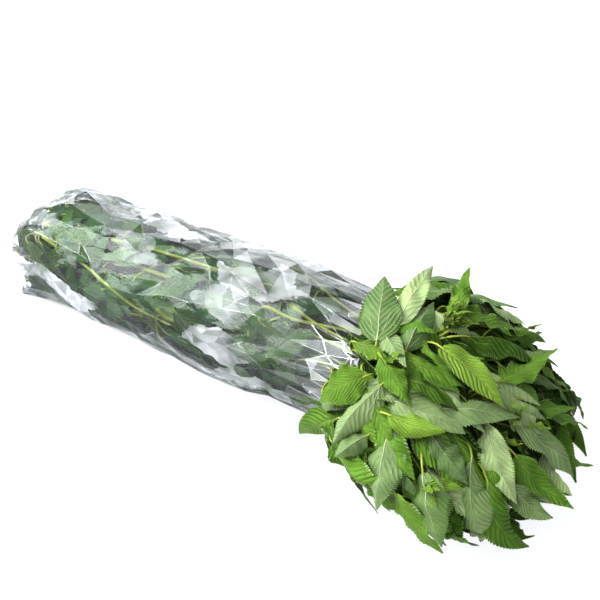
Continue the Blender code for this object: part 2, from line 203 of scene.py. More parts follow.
def mouth_edge(around, rim):
    """How far along the film's ragged edge is, at this angle."""
    reach, middle, half = MOUTH_FLAP
    flap = max(0.0, 1 - ((around - middle + 180) % 360 - 180) ** 2 / half**2)
    turn = math.radians(around)
    torn = noise.noise(Vector((math.cos(turn), math.sin(turn), 0.3)) * 7.0)
    torn += 0.6 * noise.noise(Vector((math.cos(turn), math.sin(turn), 1.7)) * 19.0)
    return np.interp(around, *rim, period=360) + reach * flap + TORN_EDGE * torn


def facet_corners(draw):
    """Where the film's creases meet, as the distance down from the mouth and round the unrolled film."""
    length = BAG_SECTIONS[-1][0] - BAG_SECTIONS[0][0]
    down_steps = np.linspace(0, length + END_LENGTH, 400)
    stretch = np.where(down_steps < MOUTH_PLEATS, PLEAT_STRETCH, FACET_STRETCH)
    stretch = np.where(down_steps > length, 1.0, stretch)
    squeezed = np.concatenate([[0.0], np.cumsum((down_steps[1] - down_steps[0]) / stretch[:-1])])
    found = np.empty((0, 3))
    for attempt in range(FACET_TRIES):
        across = FILM_AROUND * draw.random()
        level = squeezed[-1] * draw.random()
        if attempt < EDGE_TRIES:
            level = squeezed[-1] * (attempt % 2)
        down = np.interp(level, squeezed, down_steps)
        round_film = math.cos(across / FILM_AROUND * ONCE_ROUND)
        calm = 0.5 + 0.5 * noise.noise(Vector((down * 13, round_film * 1.3, 4.2)))
        space = FACET_NARROWEST + (FACET_WIDEST - FACET_NARROWEST) * clipped(calm * 2.0 - 0.55)
        space = min(space, FACET_MOUTH + down * 0.10, FACET_NARROWEST + abs(length - down) * 0.5)
        aside = np.abs(found[:, 1] - across)
        aside = np.minimum(aside, FILM_AROUND - aside)
        if len(found) and np.min(np.hypot(found[:, 0] - level, aside) - np.minimum(found[:, 2], space)) < 0:
            continue
        found = np.vstack([found, (level, across, space)])
    return [(float(np.interp(row[0], squeezed, down_steps)), *map(float, row)) for row in found]


def haze_and_reflection_at(spot, mouth, draw):
    """How milky a facet is, as a whole number for loose film, and after the point how strong the painted
    reflections of its veils are.
    """
    gathered = clipped((spot.x - mouth + 0.040) / 0.05)
    around = math.degrees(math.atan2(spot.z - FILM_MIDDLE, -spot.y))
    bunched = np.interp(around, BUNCHED_AROUND, (0, 1, 1, 0))
    bunched *= np.interp(spot.x, (-0.30, -0.20), (0.35, 1.0))
    low_side = np.interp(around, LOW_AROUND, (0.2, 1, 1, 0))
    tight = np.interp(spot.x, TIGHT_ALONG, (0, 1, 1, 0)) * np.interp(around, TIGHT_AROUND, (0, 1, 1, 0))
    loose = max(gathered * draw.choice((0.0, 0.1, 0.2)), bunched * draw.choice((0.0, 0.1, 0.2, 0.3)))
    # Painted reflection: how strong the facet's veils are, strongest along the low side and weakest where the
    # film is drawn tight
    strength = (0.80 + 0.19 * low_side) * (1 - 0.8 * tight) * draw.choice((0.55, 0.8, 0.9, 1.0))
    return strength + round(10 * loose)


def crinkled_film():
    """The film's sheet of flat facets, each with a thin rounded margin that meets the next at a crease."""
    draw = random.Random(FILM_SEED)
    outer_faces = [face for face in bag_faces if min(face) < outer_count]
    outer_faces = [face for face in outer_faces if max(face) < outer_count or max(face) == 2 * outer_count]
    shell = BVHTree.FromPolygons(bag_vertices, outer_faces)
    rim = bag_vertices[outer_count - BAG_SIDES : outer_count]
    rim = sorted((math.degrees(math.atan2(p.z - RIM_MIDDLE, -p.y)) % 360, p.x) for p in rim)
    rim = list(zip(*rim))
    start, mouth = BAG_SECTIONS[0][0], BAG_SECTIONS[-1][0]
    length = mouth - start
    middle = Vector((start - 0.002, 0.0, BAG_SECTIONS[0][2] * MIDDLE_HEIGHT))
    corners = facet_corners(draw)
    flat, order = [], []
    for turn in (-1, 0, 1):
        flat += [Vector((level, across + turn * FILM_AROUND)) for _, level, across, _ in corners]
        order += range(len(corners))
    _, _, triangles, origins, _, _ = delaunay_2d_cdt(flat, [], [], 0, 1e-9)
    shape = bmesh.new()
    crease_layer = shape.loops.layers.float.new("crease")
    haze_and_reflection_layer = shape.faces.layers.float.new("haze_and_reflection")
    for down, _, across, space in corners:
        around = 360 * across / FILM_AROUND
        edge = mouth_edge(around, rim)
        share = min(down / length, 1.0)
        along = edge + (start - edge) * share
        point, outward = on_surface(BAG_SECTIONS, along, around)
        hit, _, _, _ = shell.ray_cast(point - outward * 0.02, outward)
        if not hit:
            hit = point
        billow = BILLOW * (0.5 + noise.noise(Vector((along * 14, point.y * 22, point.z * 22))))
        billow += BOXY_END * max(0.0, share * 5 - 4) * math.sin(math.radians(2 * around)) ** 2
        pleated = max(0.0, 1 - down / MOUTH_PLEATS)
        raised = FILM_LIFT + max(0.0, billow) + draw.uniform(0, 0.22 + 0.75 * pleated) * space
        point = hit + outward * raised
        if down > length:
            closing = 1 - (1 - END_SHARE) * (down - length) / END_LENGTH
            point = middle + (point - middle) * closing
            point.x += draw.uniform(-0.004, 0.002) * (closing < 0.95)
        point.z = max(point.z, FILM_LOWEST)
        shape.verts.new(point)
    shape.verts.ensure_lookup_table()
    for triangle in triangles:
        sources = [origins[corner][0] for corner in triangle]
        centre = sum(flat[source].y for source in sources) / 3
        if not 0 <= centre < FILM_AROUND:
            continue
        picked = [order[source] for source in sources]
        if len(set(picked)) == 3:
            try:
                shape.faces.new([shape.verts[k] for k in picked])
            except ValueError:
                pass
    bmesh.ops.recalc_face_normals(shape, faces=shape.faces)
    # How sharp each fold is sets how strong the white highlight painted along its crease is, more so near the
    # gathered mouth
    folds = {}
    for fold in shape.edges:
        bend = math.degrees(fold.calc_face_angle(0.0))
        gathered = clipped((fold.verts[0].co.x - mouth + 0.045) / 0.06)
        sharp = (bend - FLATTEST_FOLD + 5 * gathered) / (SHARPEST_FOLD - FLATTEST_FOLD - 12 * gathered)
        strength = clipped(sharp) * draw.random() ** (0.7 - 0.45 * gathered)
        folds[frozenset(corner.index for corner in fold.verts)] = strength
    for facet in shape.faces:
        facet[haze_and_reflection_layer] = haze_and_reflection_at(facet.calc_center_median(), mouth, draw)
    before = len(shape.verts)
    bmesh.ops.inset_individual(shape, faces=list(shape.faces), thickness=CREASE_WIDTH, use_even_offset=False)
    shape.verts.index_update()
    for face in shape.faces:
        old = [loop for loop in face.loops if loop.vert.index < before]
        if len(old) == 2:
            strength = folds.get(frozenset(loop.vert.index for loop in old), 0.0)
            for loop in old:
                loop[crease_layer] = strength
    return shape


def add_group(name, inputs, outputs):
    """An empty shader group, with its input and output nodes."""
    tree = bpy.data.node_groups.new(name, "ShaderNodeTree")
    for label, kind, value in inputs:
        socket = tree.interface.new_socket(label, in_out="INPUT", socket_type=kind)
        if value is not None:
            socket.default_value = value
    for label, kind in outputs:
        tree.interface.new_socket(label, in_out="OUTPUT", socket_type=kind)
    return tree, tree.nodes.new("NodeGroupInput").outputs, tree.nodes.new("NodeGroupOutput").inputs


def feed(tree, socket, value):
    """Gives a socket a value of its own or another node's output."""
    if isinstance(value, bpy.types.NodeSocket):
        tree.links.new(value, socket)
    else:
        socket.default_value = value


def sum_of(tree, operation, *values, clamp=False):
    """A Math node, fed with numbers or with other nodes' outputs."""
    node = tree.nodes.new("ShaderNodeMath")
    node.operation = operation
    node.use_clamp = clamp
    for socket, value in zip(node.inputs, values):
        feed(tree, socket, value)
    return node.outputs[0]


def product_of(tree, *values):
    """Numbers or other nodes' outputs, multiplied."""
    result = values[0]
    for value in values[1:]:
        result = sum_of(tree, "MULTIPLY", result, value)
    return result


def between(tree, *values):
    """Eases from the fourth value to the fifth, else 0 to 1, as the first goes from second to third."""
    node = tree.nodes.new("ShaderNodeMapRange")
    node.interpolation_type = "SMOOTHSTEP"
    for label, value in zip(("Value", "From Min", "From Max", "To Min", "To Max"), values):
        feed(tree, node.inputs[label], value)
    return node.outputs[0]


def blend_of(tree, share, first, second):
    """A colour between two, given as values or as other nodes' outputs."""
    node = tree.nodes.new("ShaderNodeMix")
    node.data_type = "RGBA"
    feed(tree, node.inputs[0], share)
    feed(tree, node.inputs[6], first)
    feed(tree, node.inputs[7], second)
    return node.outputs[2]


def fed_node(tree, kind, inputs, **settings):
    """A node of this kind with its settings made, and its inputs fed by name or number."""
    node = tree.nodes.new("ShaderNode" + kind)
    for setting, value in settings.items():
        setattr(node, setting, value)
    for label, value in inputs.items():
        feed(tree, node.inputs[label], value)
    return node.outputs


def noise_of(tree, vector, scale, detail=3.0, roughness=0.5):
    """Soft noise at this place, from 0 to 1."""
    inputs = {"Vector": vector, "Scale": scale, "Detail": detail, "Roughness": roughness}
    return fed_node(tree, "TexNoise", inputs)["Fac"]


def bump_of(tree, height, strength, distance):
    """The surface's way out, tilted by the slope of this height."""
    return fed_node(tree, "Bump", {"Height": height, "Strength": strength, "Distance": distance})["Normal"]


def finish_material(name):
    """A new material, with its tree and its Principled shader."""
    material = bpy.data.materials.new(name)
    material.use_nodes = True
    return material, material.node_tree, material.node_tree.nodes["Principled BSDF"]


FILM_GLINT = (0.91, 0.94, 0.98, 1.0)
FILM_CLEAR = (0.935, 0.970, 0.985, 1.0)
# How much of the view the film takes: plain, in a veil painted as a reflection of the room, and in a crease,
# where a white highlight is painted and it shines
PLAIN_COVER = 0.045
REFLECTION_VEIL_COVER = 0.58
CREASE_HIGHLIGHT_COVER = 0.36
CREASE_SHINE = 0.30
# How close the cells of the painted reflections stand, how far their edges are torn, and how many of them
# show
REFLECTION_VEIL_CELLS = (14.0, 33.0, 33.0)
REFLECTION_VEIL_TEAR = (0.30, 0.42, 0.42)
REFLECTION_VEIL_PICKED = (0.62, 0.64)

film_clear, tree, gloss = finish_material("clear crinkled film")
place = fed_node(tree, "TexCoord", {})["Object"]
slack = noise_of(tree, place, 20.0, 2.0, 0.4)
ripple = noise_of(tree, place, 90.0, 3.0, 0.6)
bumped = bump_of(tree, sum_of(tree, "MULTIPLY_ADD", ripple, 0.05, slack), 1.0, 0.011)
rim_light = fed_node(tree, "Fresnel", {"IOR": 1.45, "Normal": bumped})[0]
folded = fed_node(tree, "Attribute", {}, attribute_name="crease")["Fac"]
haze_and_reflection_share = fed_node(tree, "Attribute", {}, attribute_name="haze_and_reflection")["Fac"]
creased = sum_of(tree, "POWER", folded, 1.3)
# The veils are painted reflections of the room: cells drawn out round the bag, with torn edges; some of them
# show, each with its own strength
drawn_out = fed_node(tree, "Mapping", {"Vector": place, "Scale": REFLECTION_VEIL_CELLS})[0]
jagged = fed_node(tree, "TexNoise", {"Vector": place, "Scale": 85.0, "Detail": 4.0})["Color"]
shaken = {0: jagged, 1: REFLECTION_VEIL_TEAR, 2: drawn_out}
shaken = fed_node(tree, "VectorMath", shaken, operation="MULTIPLY_ADD")[0]
patches = fed_node(tree, "TexVoronoi", {"Vector": shaken, "Scale": 1.0})["Color"]
picked = fed_node(tree, "SeparateColor", {0: patches})
fading = between(tree, noise_of(tree, place, 34.0, 2.0, 0.5), 0.36, 0.62, 0.35, 1.0)
torn = between(tree, picked[0], *REFLECTION_VEIL_PICKED)
torn = product_of(tree, torn, fading, between(tree, picked[1], 0.0, 1.0, 0.45, 1.0))
loose = sum_of(tree, "FLOOR", haze_and_reflection_share)
strength = sum_of(tree, "SUBTRACT", haze_and_reflection_share, loose)
veil = product_of(tree, torn, strength, REFLECTION_VEIL_COVER)
veil = sum_of(tree, "MULTIPLY_ADD", loose, 0.1, sum_of(tree, "ADD", veil, PLAIN_COVER))
shine = sum_of(tree, "MULTIPLY_ADD", rim_light, 1.0, product_of(tree, creased, CREASE_SHINE))
# Painted highlight: white is laid along the creases, on top of the painted reflections of the veils and the
# film's even milkiness
white = sum_of(tree, "MULTIPLY_ADD", creased, CREASE_HIGHLIGHT_COVER, veil)
cover = sum_of(tree, "ADD", shine, white)
share = sum_of(tree, "DIVIDE", shine, cover, clamp=True)
feed(tree, gloss.inputs["Base Color"], FILM_GLINT)
feed(tree, gloss.inputs["Normal"], bumped)
feed(tree, gloss.inputs["Metallic"], share)
feed(tree, gloss.inputs["Roughness"], between(tree, share, 0.0, 0.8, 0.34, 0.07))
cover = sum_of(tree, "MINIMUM", cover, 1.0)
clear = fed_node(tree, "BsdfTransparent", {"Color": FILM_CLEAR})[0]
see_through = fed_node(tree, "MixShader", {0: cover, 1: clear, 2: gloss.outputs[0]})
feed(tree, tree.nodes["Material Output"].inputs["Surface"], see_through[0])


def add_object(name, data):
    """An object in the scene that shows this mesh, lamp or camera."""
    thing = bpy.data.objects.new(name, data)
    bpy.context.scene.collection.objects.link(thing)
    return thing


def add_piece(name, mesh, materials, slots=None):
    """A smooth mesh at the CAD model's place, with a material for each face."""
    for material in materials:
        mesh.materials.append(material)
    if slots is not None:
        mesh.polygons.foreach_set("material_index", slots)
    mesh.transform(Matrix.Translation(MOVED))
    mesh.shade_smooth()
    return add_object(name, mesh)


film_mesh = bpy.data.meshes.new("crinkled film")
film_shape = crinkled_film()
film_shape.to_mesh(film_mesh)
film_skin = BVHTree.FromBMesh(film_shape)
film_shape.free()
film = add_piece("crinkled_film", film_mesh, [film_clear])
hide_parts("film_bag")
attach(film, "root")

# The stems
# Fresh green stems about as thick as a pencil at the cut, running side by side through the bag, drawn in at
# its mouth and fanned out in the head. Nothing ties them: the bag holds them together.
# How many stems stand in each ring, how far out it is and where it starts
STEM_RINGS = ((13, 1.0, 0.0), (7, 0.52, 20.0), (2, 0.12, 60.0))
STEM_RADIUS_CUT = 0.0031
STEM_RADIUS_TIP = 0.0013
STEM_SIDES = 5
STEM_POINTS = 9
CUT_END = -0.322
CUT_END_SPREAD = 0.030
TIP_ALONG = {1.0: (0.130, 0.205), 0.52: (0.165, 0.240), 0.12: (0.215, 0.245)}
SPREAD_SECTIONS = (
    (-0.340, 0.034, 0.056, 0.0),
    (-0.250, 0.050, 0.074, 0.0),
    (-0.100, 0.058, 0.082, 0.0),
    (0.000, 0.052, 0.074, 0.0),
    (0.055, 0.043, 0.062, -0.002),
    (0.100, 0.066, 0.092, -0.010),
    (0.150, 0.090, 0.106, -0.022),
    (0.200, 0.100, 0.094, -0.033),
    (0.250, 0.092, 0.064, -0.040),
)
# Distance along the bunch, and the height of its middle
SPREAD_MIDDLE = (
    (-0.340, 0.043),
    (-0.100, 0.056),
    (0.055, 0.056),
    (0.150, 0.070),
    (0.200, 0.064),
    (0.250, 0.048),
)
STEM_FINE_SIDES = 9
STEM_FINE_STEPS = 5
STEM_GREEN = (0.235, 0.330, 0.045, 1.0)
STEM_YELLOW = (0.420, 0.470, 0.085, 1.0)


def stem_path(share, angle, tip_along, draw):
    """Points along one stem: close together in the bag, drawn in at its mouth and fanned out in the head."""
    start = CUT_END + draw.uniform(0, CUT_END_SPREAD)
    sway = draw.uniform(-4, 4)
    points = []
    for i in range(STEM_POINTS):
        along = start + (tip_along - start) * i / (STEM_POINTS - 1)
        half_width, height, shift = read_off(SPREAD_SECTIONS, along)
        (middle,) = read_off(SPREAD_MIDDLE, along)
        turn = math.radians(angle + sway * math.sin(9 * along) + 18 * along)
        aside = shift - share * half_width * math.cos(turn)
        points.append(Vector((along, aside, middle + share * height / 2 * math.sin(turn))))
    return points


def stem_radius(step):
    """How thick the stem is at this point of its path."""
    return STEM_RADIUS_CUT + (STEM_RADIUS_TIP - STEM_RADIUS_CUT) * step / (STEM_POINTS - 1)


def tube(points, radii, sides):
    """Vertices and faces of a closed tube with flat ends."""
    vertices, faces = [], []
    for i, point in enumerate(points):
        ahead = points[min(i + 1, len(points) - 1)] - points[max(i - 1, 0)]
        across = ahead.cross(Vector((0, 0, 1))).normalized()
        over = across.cross(ahead).normalized()
        for k in range(sides):
            turn = 2 * math.pi * k / sides
            vertices.append(point + (across * math.cos(turn) + over * math.sin(turn)) * radii[i])
    for i in range(len(points) - 1):
        for k in range(sides):
            a, b = i * sides + k, i * sides + (k + 1) % sides
            faces.append((a, b, b + sides, a + sides))
    faces.append(tuple(reversed(range(sides))))
    faces.append(tuple(range(len(vertices) - sides, len(vertices))))
    return vertices, faces


def smooth_path(points, steps):
    """More points along a smooth curve through the given ones."""
    padded = [points[0] * 2 - points[1], *points, points[-1] * 2 - points[-2]]
    fine = []
    for i in range(len(points) - 1):
        a, b, c, d = padded[i : i + 4]
        for step in range(steps):
            t = step / steps
            bend = b * 2 + (c - a) * t + (a * 2 - b * 5 + c * 4 - d) * t**2 + (b * 3 - c * 3 + d - a) * t**3
            fine.append(bend / 2)
    return fine + [points[-1]]


draw = random.Random(SEED)
stems = []
for count, share, first in STEM_RINGS:
    for k in range(count):
        tip_along = draw.uniform(*TIP_ALONG[share])
        stems.append(stem_path(share, first + 360 * k / count, tip_along, draw))

stem_green, tree, skin = finish_material("green stem skin")
look = fed_node(tree, "Attribute", {}, attribute_name="leaf_look")["Vector"]
place = fed_node(tree, "TexCoord", {})["Object"]
streaks = fed_node(tree, "Mapping", {"Vector": place, "Scale": (12.0, 160.0, 160.0)})[0]
streak = noise_of(tree, streaks, 3.0, 4.0)
tone = product_of(tree, fed_node(tree, "SeparateXYZ", {0: look})[1], 0.8)
yellowness = sum_of(tree, "MULTIPLY_ADD", streak, 0.5, tone, clamp=True)
feed(tree, skin.inputs["Base Color"], blend_of(tree, yellowness, STEM_GREEN, STEM_YELLOW))
feed(tree, skin.inputs["Roughness"], 0.42)
feed(tree, skin.inputs["Normal"], bump_of(tree, streak, 0.4, 0.0006))

# The leaves
# Each leaf is a thin stalk and one soft blade, long-pointed and saw-edged. It grows from the nearest stem.
# The leaves of the near side are listed one by one. The others follow a rule: on the far side, deeper in, and
# under the film, where they lie pressed flat.
LEAF_LENGTH = 0.080
LEAF_WIDTH_SHARE = 0.43
RIB_THICKNESS = 0.0014
PETIOLE_RADIUS = 0.0011
YOUNG_LEAF_LENGTH = 0.031
CLEARANCE = 0.0004
FLOOR_CLEARANCE = 0.0012
LOWEST_RIB = 0.006
HEAD_SECTIONS = (
    (0.035, 0.080, 0.120, 0.0),
    (0.075, 0.106, 0.144, -0.005),
    (0.110, 0.127, 0.156, -0.014),
    (0.150, 0.138, 0.156, -0.026),
    (0.200, 0.138, 0.136, -0.036),
    (0.250, 0.122, 0.100, -0.042),
    (0.280, 0.098, 0.070, -0.044),
    (0.305, 0.058, 0.040, -0.042),
)
# Base (along, around), tip (along, around), how far the tip stands off, width, and look
SHOWN_LEAVES = (
    (0.170, 85, 0.238, 84, 0.006, 0.045, "bright"),
    (0.120, 66, 0.090, 92, 0.010, 0.046, "grey"),
    (0.125, 78, 0.118, 112, 0.012, 0.030, "pale"),
    (0.145, 74, 0.138, 100, 0.004, 0.034, "grey"),
    (0.110, 74, 0.160, 64, 0.012, 0.024, "sage"),
    (0.165, 100, 0.140, 126, 0.030, 0.022, "curled"),
    (0.155, 106, 0.205, 118, 0.006, 0.036, "mid"),
    (0.178, 100, 0.230, 124, 0.008, 0.036, "deep"),
    (0.190, 118, 0.225, 142, 0.014, 0.034, "deep"),
    (0.220, 96, 0.240, 130, 0.022, 0.032, "mid"),
    (0.218, 92, 0.268, 104, 0.010, 0.030, "pale"),
    (0.240, 102, 0.280, 120, 0.026, 0.028, "deep"),
    (0.145, 68, 0.205, 80, 0.002, 0.036, "mid"),
    (0.160, 62, 0.212, 70, -0.004, 0.032, "deep"),
    (0.180, 55, 0.250, 88, 0.008, 0.040, "sage"),
    (0.158, 52, 0.222, 62, 0.008, 0.042, "sage"),
    (0.165, 44, 0.215, 52, 0.014, 0.028, "bright"),
    (0.130, 50, 0.096, 22, 0.006, 0.044, "fresh"),
    (0.148, 52, 0.130, 12, 0.010, 0.034, "sage"),
    (0.120, 20, 0.070, -16, 0.012, 0.036, "mid"),
    (0.130, 34, 0.090, 6, 0.004, 0.036, "grey"),
    (0.172, 40, 0.186, -4, 0.008, 0.050, "sage"),
    (0.165, 26, 0.135, 2, 0.012, 0.034, "sage"),
    (0.212, 34, 0.246, -2, 0.006, 0.046, "grey"),
    (0.238, 58, 0.276, 10, 0.006, 0.054, "sage"),
    (0.256, 54, 0.300, 8, 0.004, 0.038, "deep"),
    (0.232, 76, 0.284, 50, 0.012, 0.034, "pale"),
    (0.248, 88, 0.305, 100, 0.010, 0.046, "sage"),
    (0.255, 104, 0.292, 136, 0.018, 0.030, "mid"),
    (0.272, 98, 0.312, 118, 0.014, 0.028, "mid"),
    (0.262, 76, 0.318, 66, 0.012, 0.032, "mid"),
    (0.272, 44, 0.316, 26, 0.008, 0.036, "sage"),
    (0.204, 52, 0.246, 44, 0.004, 0.036, "grey"),
    (0.208, 66, 0.252, 72, -0.002, 0.034, "deep"),
    (0.202, 12, 0.238, -22, 0.006, 0.038, "mid"),
    (0.208, 24, 0.250, 4, -0.006, 0.050, "deep"),
    (0.244, 18, 0.288, -14, 0.004, 0.038, "grey"),
    (0.240, 66, 0.284, 38, -0.004, 0.040, "mid"),
    (0.118, 46, 0.168, 56, 0.004, 0.030, "sage"),
    (0.132, 62, 0.178, 54, -0.002, 0.030, "fresh"),
)
# How many leaves, where along and around, how deep, how far the tips stand off, whether they point back
LAYERS = (
    (HEAD_SECTIONS, 12, (0.092, 0.118), (135, 375), 0.001, 0.004, True),
    (HEAD_SECTIONS, 38, (0.075, 0.255), (125, 345), 0.006, 0.009, False),
    (HEAD_SECTIONS, 30, (0.070, 0.255), (-30, 330), 0.014, 0.008, False),
    (BAG_SECTIONS, 40, (-0.315, 0.000), (-60, 300), 0.0065, 0.0, False),
)
TRIES = 84
DEPTH_STEPS = 7
DEPTH_STEP = 0.0022
BASE_SUNK = 0.008
STEMS_TRIED = 7
LONGEST_STALK = 0.085
FRONT = 0.302
BLADE_STATIONS = (0.12, 0.38, 0.70)
YOUNG_STATIONS = (0.35,)
# How far a listed leaf may move from its place, along and around, where it doesn't fit
SHIFT_ALONG = 0.014
SHIFT_AROUND = 9
# The share of tries after which a rule's leaf may run through its own stem and stalks
MAY_CROSS_AFTER = 0.7
GOLDEN_SHARE = 0.618034


def along_leaf(base, middle, tip, share):
    """A point on the arc through a blade's base, middle and tip."""
    return (
        base * (2 * share - 1) * (share - 1)
        + middle * 4 * share * (1 - share)
        + tip * share * (2 * share - 1)
    )


def blade_share(share):
    """How wide the blade is at this share of its length, against its widest: round base, long tip."""
    return math.sin(math.pi * share**0.62) ** 0.9


def plain_leaf(root, place, grow=0.0):
    """The leaf's coarse solid as the CAD model has it, for finding it a free place."""
    base, middle, tip, width = place["base"], place["middle"], place["tip"], place["width"]
    rows = [(root, PETIOLE_RADIUS * 1.15, 0.0), (base, PETIOLE_RADIUS * 0.95, 0.0)]
    for share in place["stations"]:
        rows.append((along_leaf(base, middle, tip, share), width / 2 * blade_share(share), share))
    centres = [row[0] for row in rows] + [tip]
    vertices = []
    for i, (centre, half_width, share) in enumerate(rows):
        ahead = (centres[i + 1] - centres[max(i - 1, 0)]).normalized()
        across = ahead.cross(place["facing"]).normalized()
        up = across.cross(ahead).normalized()
        half_width += grow
        thick = half_width
        left, right = -across * half_width, across * half_width
        if share:
            fold = math.radians(place["fold"])
            wave = place["wave"] * math.sin(9 * share + place["phase"])
            thick = RIB_THICKNESS / 2 + grow
            left = -across * half_width * math.cos(fold) + up * (half_width * math.sin(fold) + wave)
            right = across * half_width * math.cos(fold) + up * (half_width * math.sin(fold) - wave)
        vertices += [centre + left, centre + up * thick, centre + right, centre - up * thick]
    vertices.append(tip + (tip - middle).normalized() * grow)
    faces = [(3, 2, 1, 0)]
    for i in range(len(rows) - 1):
        for k in range(4):
            a, b = 4 * i + k, 4 * i + (k + 1) % 4
            if k % 2:
                faces += [(a, b, b + 4), (a, b + 4, a + 4)]
            else:
                faces += [(a, b, a + 4), (b, b + 4, a + 4)]
    last = len(vertices) - 1
    for k in range(4):
        faces.append((last - 4 + k, last - 4 + (k + 1) % 4, last))
    return vertices, faces


class Space:
    """What is already in place, so that the next leaf is set clear of it."""

    def __init__(self):
        self.trees, self.lows, self.highs, self.owners = [], [], [], []

    def add(self, vertices, faces, kind, number):
        corners = np.array([vertices[corner] for face in faces for corner in face])
        self.trees.append(BVHTree.FromPolygons(vertices, faces))
        self.lows.append(corners.min(0))
        self.highs.append(corners.max(0))
        self.owners.append((kind, number))

    def crossed(self, vertices, faces):
        """The kind and the stem's number of all that this shape runs through."""
        corners = np.array([vertices[corner] for face in faces for corner in face])
        low, high = corners.min(0), corners.max(0)
        if low[2] < FLOOR_CLEARANCE:
            return {("floor", None)}
        near = np.all(np.array(self.lows) < high, 1) & np.all(np.array(self.highs) > low, 1)
        shape = BVHTree.FromPolygons(vertices, faces)
        return {self.owners[i] for i in np.nonzero(near)[0] if shape.overlap(self.trees[i])}


def roots_near(base, way):
    """The places on the nearest stems that this leaf can grow from, as the stem's number and the point."""
    wanted = base - way * 0.016
    found = []
    for number, path in enumerate(stems):
        spots = [path[i].lerp(path[i + 1], part) for i in range(1, len(path) - 1) for part in (0.0, 0.5)]
        spot = min(spots, key=lambda point: (point - wanted).length)
        found.append(((spot - wanted).length, number, spot))
    found.sort(key=lambda one: one[0])
    return [one[1:] for one in found[:STEMS_TRIED] if one[0] < LONGEST_STALK]


def place_at(table, start, end, depth, lift, width, draw):
    """A leaf over the bunch between two places (along, around), its base sunk in and its tip lifted."""
    base, _ = on_surface(table, *start, depth + (BASE_SUNK if table is HEAD_SECTIONS else 0.001))
    middle, facing = on_surface(table, (start[0] + end[0]) / 2, (start[1] + end[1]) / 2, depth)
    tip, _ = on_surface(table, *end, depth - lift)
    for point in (base, middle, tip):
        point.z = max(point.z, LOWEST_RIB)
    across = (tip - base).cross(facing).normalized()
    lean = math.radians(draw.uniform(-12, 12))
    return {
        "base": base,
        "middle": middle,
        "tip": tip,
        "width": width,
        "facing": facing * math.cos(lean) + across * math.sin(lean),
        "fold": draw.uniform(-18, 10),
        "wave": draw.uniform(0.0015, 0.0034),
        "phase": draw.uniform(0, 6),
        "stations": BLADE_STATIONS,
    }


def small_leaf(base, heading, facing, length, width):
    """A young leaf that points straight this way from its base."""
    return {
        "base": base,
        "middle": base + heading * length / 2 + facing * 0.002,
        "tip": base + heading * length,
        "width": width,
        "facing": facing,
        "fold": -12,
        "wave": 0.0,
        "phase": 0.0,
        "stations": YOUNG_STATIONS,
    }


def way_of(place):
    """The way that a leaf points at its base."""
    return (place["middle"] - place["base"]).normalized()


space = Space()
space.add(bag_vertices, bag_faces, "bag", None)
for number, path in enumerate(stems):
    space.add(*tube(path, [stem_radius(i) for i in range(STEM_POINTS)], STEM_SIDES), "stem", number)
grown = [[] for _ in stems]


def try_leaf(place, look, roots=None, may_cross=True):
    """Adds the leaf to a stem if its blade clears all other blades and its stalk what other stems carry."""
    way = way_of(place)
    vertices, faces = plain_leaf(place["base"] - way * 0.01, place, CLEARANCE)
    blade = [face for face in faces if min(face) > 3]
    crossed = space.crossed(vertices, blade)
    if any(kind in ("floor", "bag", "blade") for kind, _ in crossed) or (crossed and not may_cross):
        return False
    for number, root in roots or roots_near(place["base"], way):
        if any(other != number for _, other in crossed):
            continue
        vertices, faces = plain_leaf(root, place, CLEARANCE)
        stalk = [face for face in faces if max(face) < 8]
        crossed_too = space.crossed(vertices, stalk) - {("stem", number)}
        if any(other != number for _, other in crossed_too) or (crossed_too and not may_cross):
            continue
        space.add(vertices, blade, "blade", number)
        space.add(vertices, stalk, "stalk", number)
        grown[number].append((root, place, look))
        return True
    return False


for index, (along, around, tip_along, tip_around, lift, width, look) in enumerate(SHOWN_LEAVES):
    for attempt in range(TRIES):
        draw = random.Random(SEED * 1000 + index * 100 + attempt)
        loose = (attempt // DEPTH_STEPS) * DEPTH_STEPS / TRIES
        shift = [draw.uniform(-loose, loose) for _ in range(4)]
        start = (along + shift[0] * SHIFT_ALONG, around + shift[1] * SHIFT_AROUND)
        end = (tip_along + shift[2] * SHIFT_ALONG, tip_around + shift[3] * SHIFT_AROUND)
        depth = attempt % DEPTH_STEPS * DEPTH_STEP
        if try_leaf(place_at(HEAD_SECTIONS, start, end, depth, lift, width, draw), look):
            break

for number, path in enumerate(stems):
    way = (path[-1] - path[-2]).normalized()
    for pair in range(2):
        for attempt in range(TRIES):
            draw = random.Random(SEED + number * 1000 + pair * 500 + attempt)
            length = YOUNG_LEAF_LENGTH * draw.uniform(0.8, 1.3)
            out = Vector([draw.uniform(-1, 1) for _ in range(3)])
            heading = (way + out * 0.7).normalized()
            facing = heading.cross(out).normalized()
            young = small_leaf(path[-1] + heading * 0.008, heading, facing, length, length * 0.42)
            if try_leaf(young, "young", [(number, path[-1] - way * 0.003)]):
                break


def heading_for(table, around, draw):
    """Leaves in the bag lie along it, and those of the head hang down its sides."""
    if table is BAG_SECTIONS:
        return draw.choice((0, 0, 0, 25, -25, 180)) + draw.uniform(-28, 28)
    if 200 < around % 360 < 340:
        return draw.uniform(-60, 60)
    return (around - 85) * 0.75 + draw.uniform(-32, 32)


def turn_over(table, along, around, reach):
    """The angle round the bunch that this reach across it covers there."""
    half_width, half_height, _, _ = section(table, along + 0.02)
    spin = math.radians(around)
    return math.degrees(reach / math.hypot(half_width * math.sin(spin), half_height * math.cos(spin)))


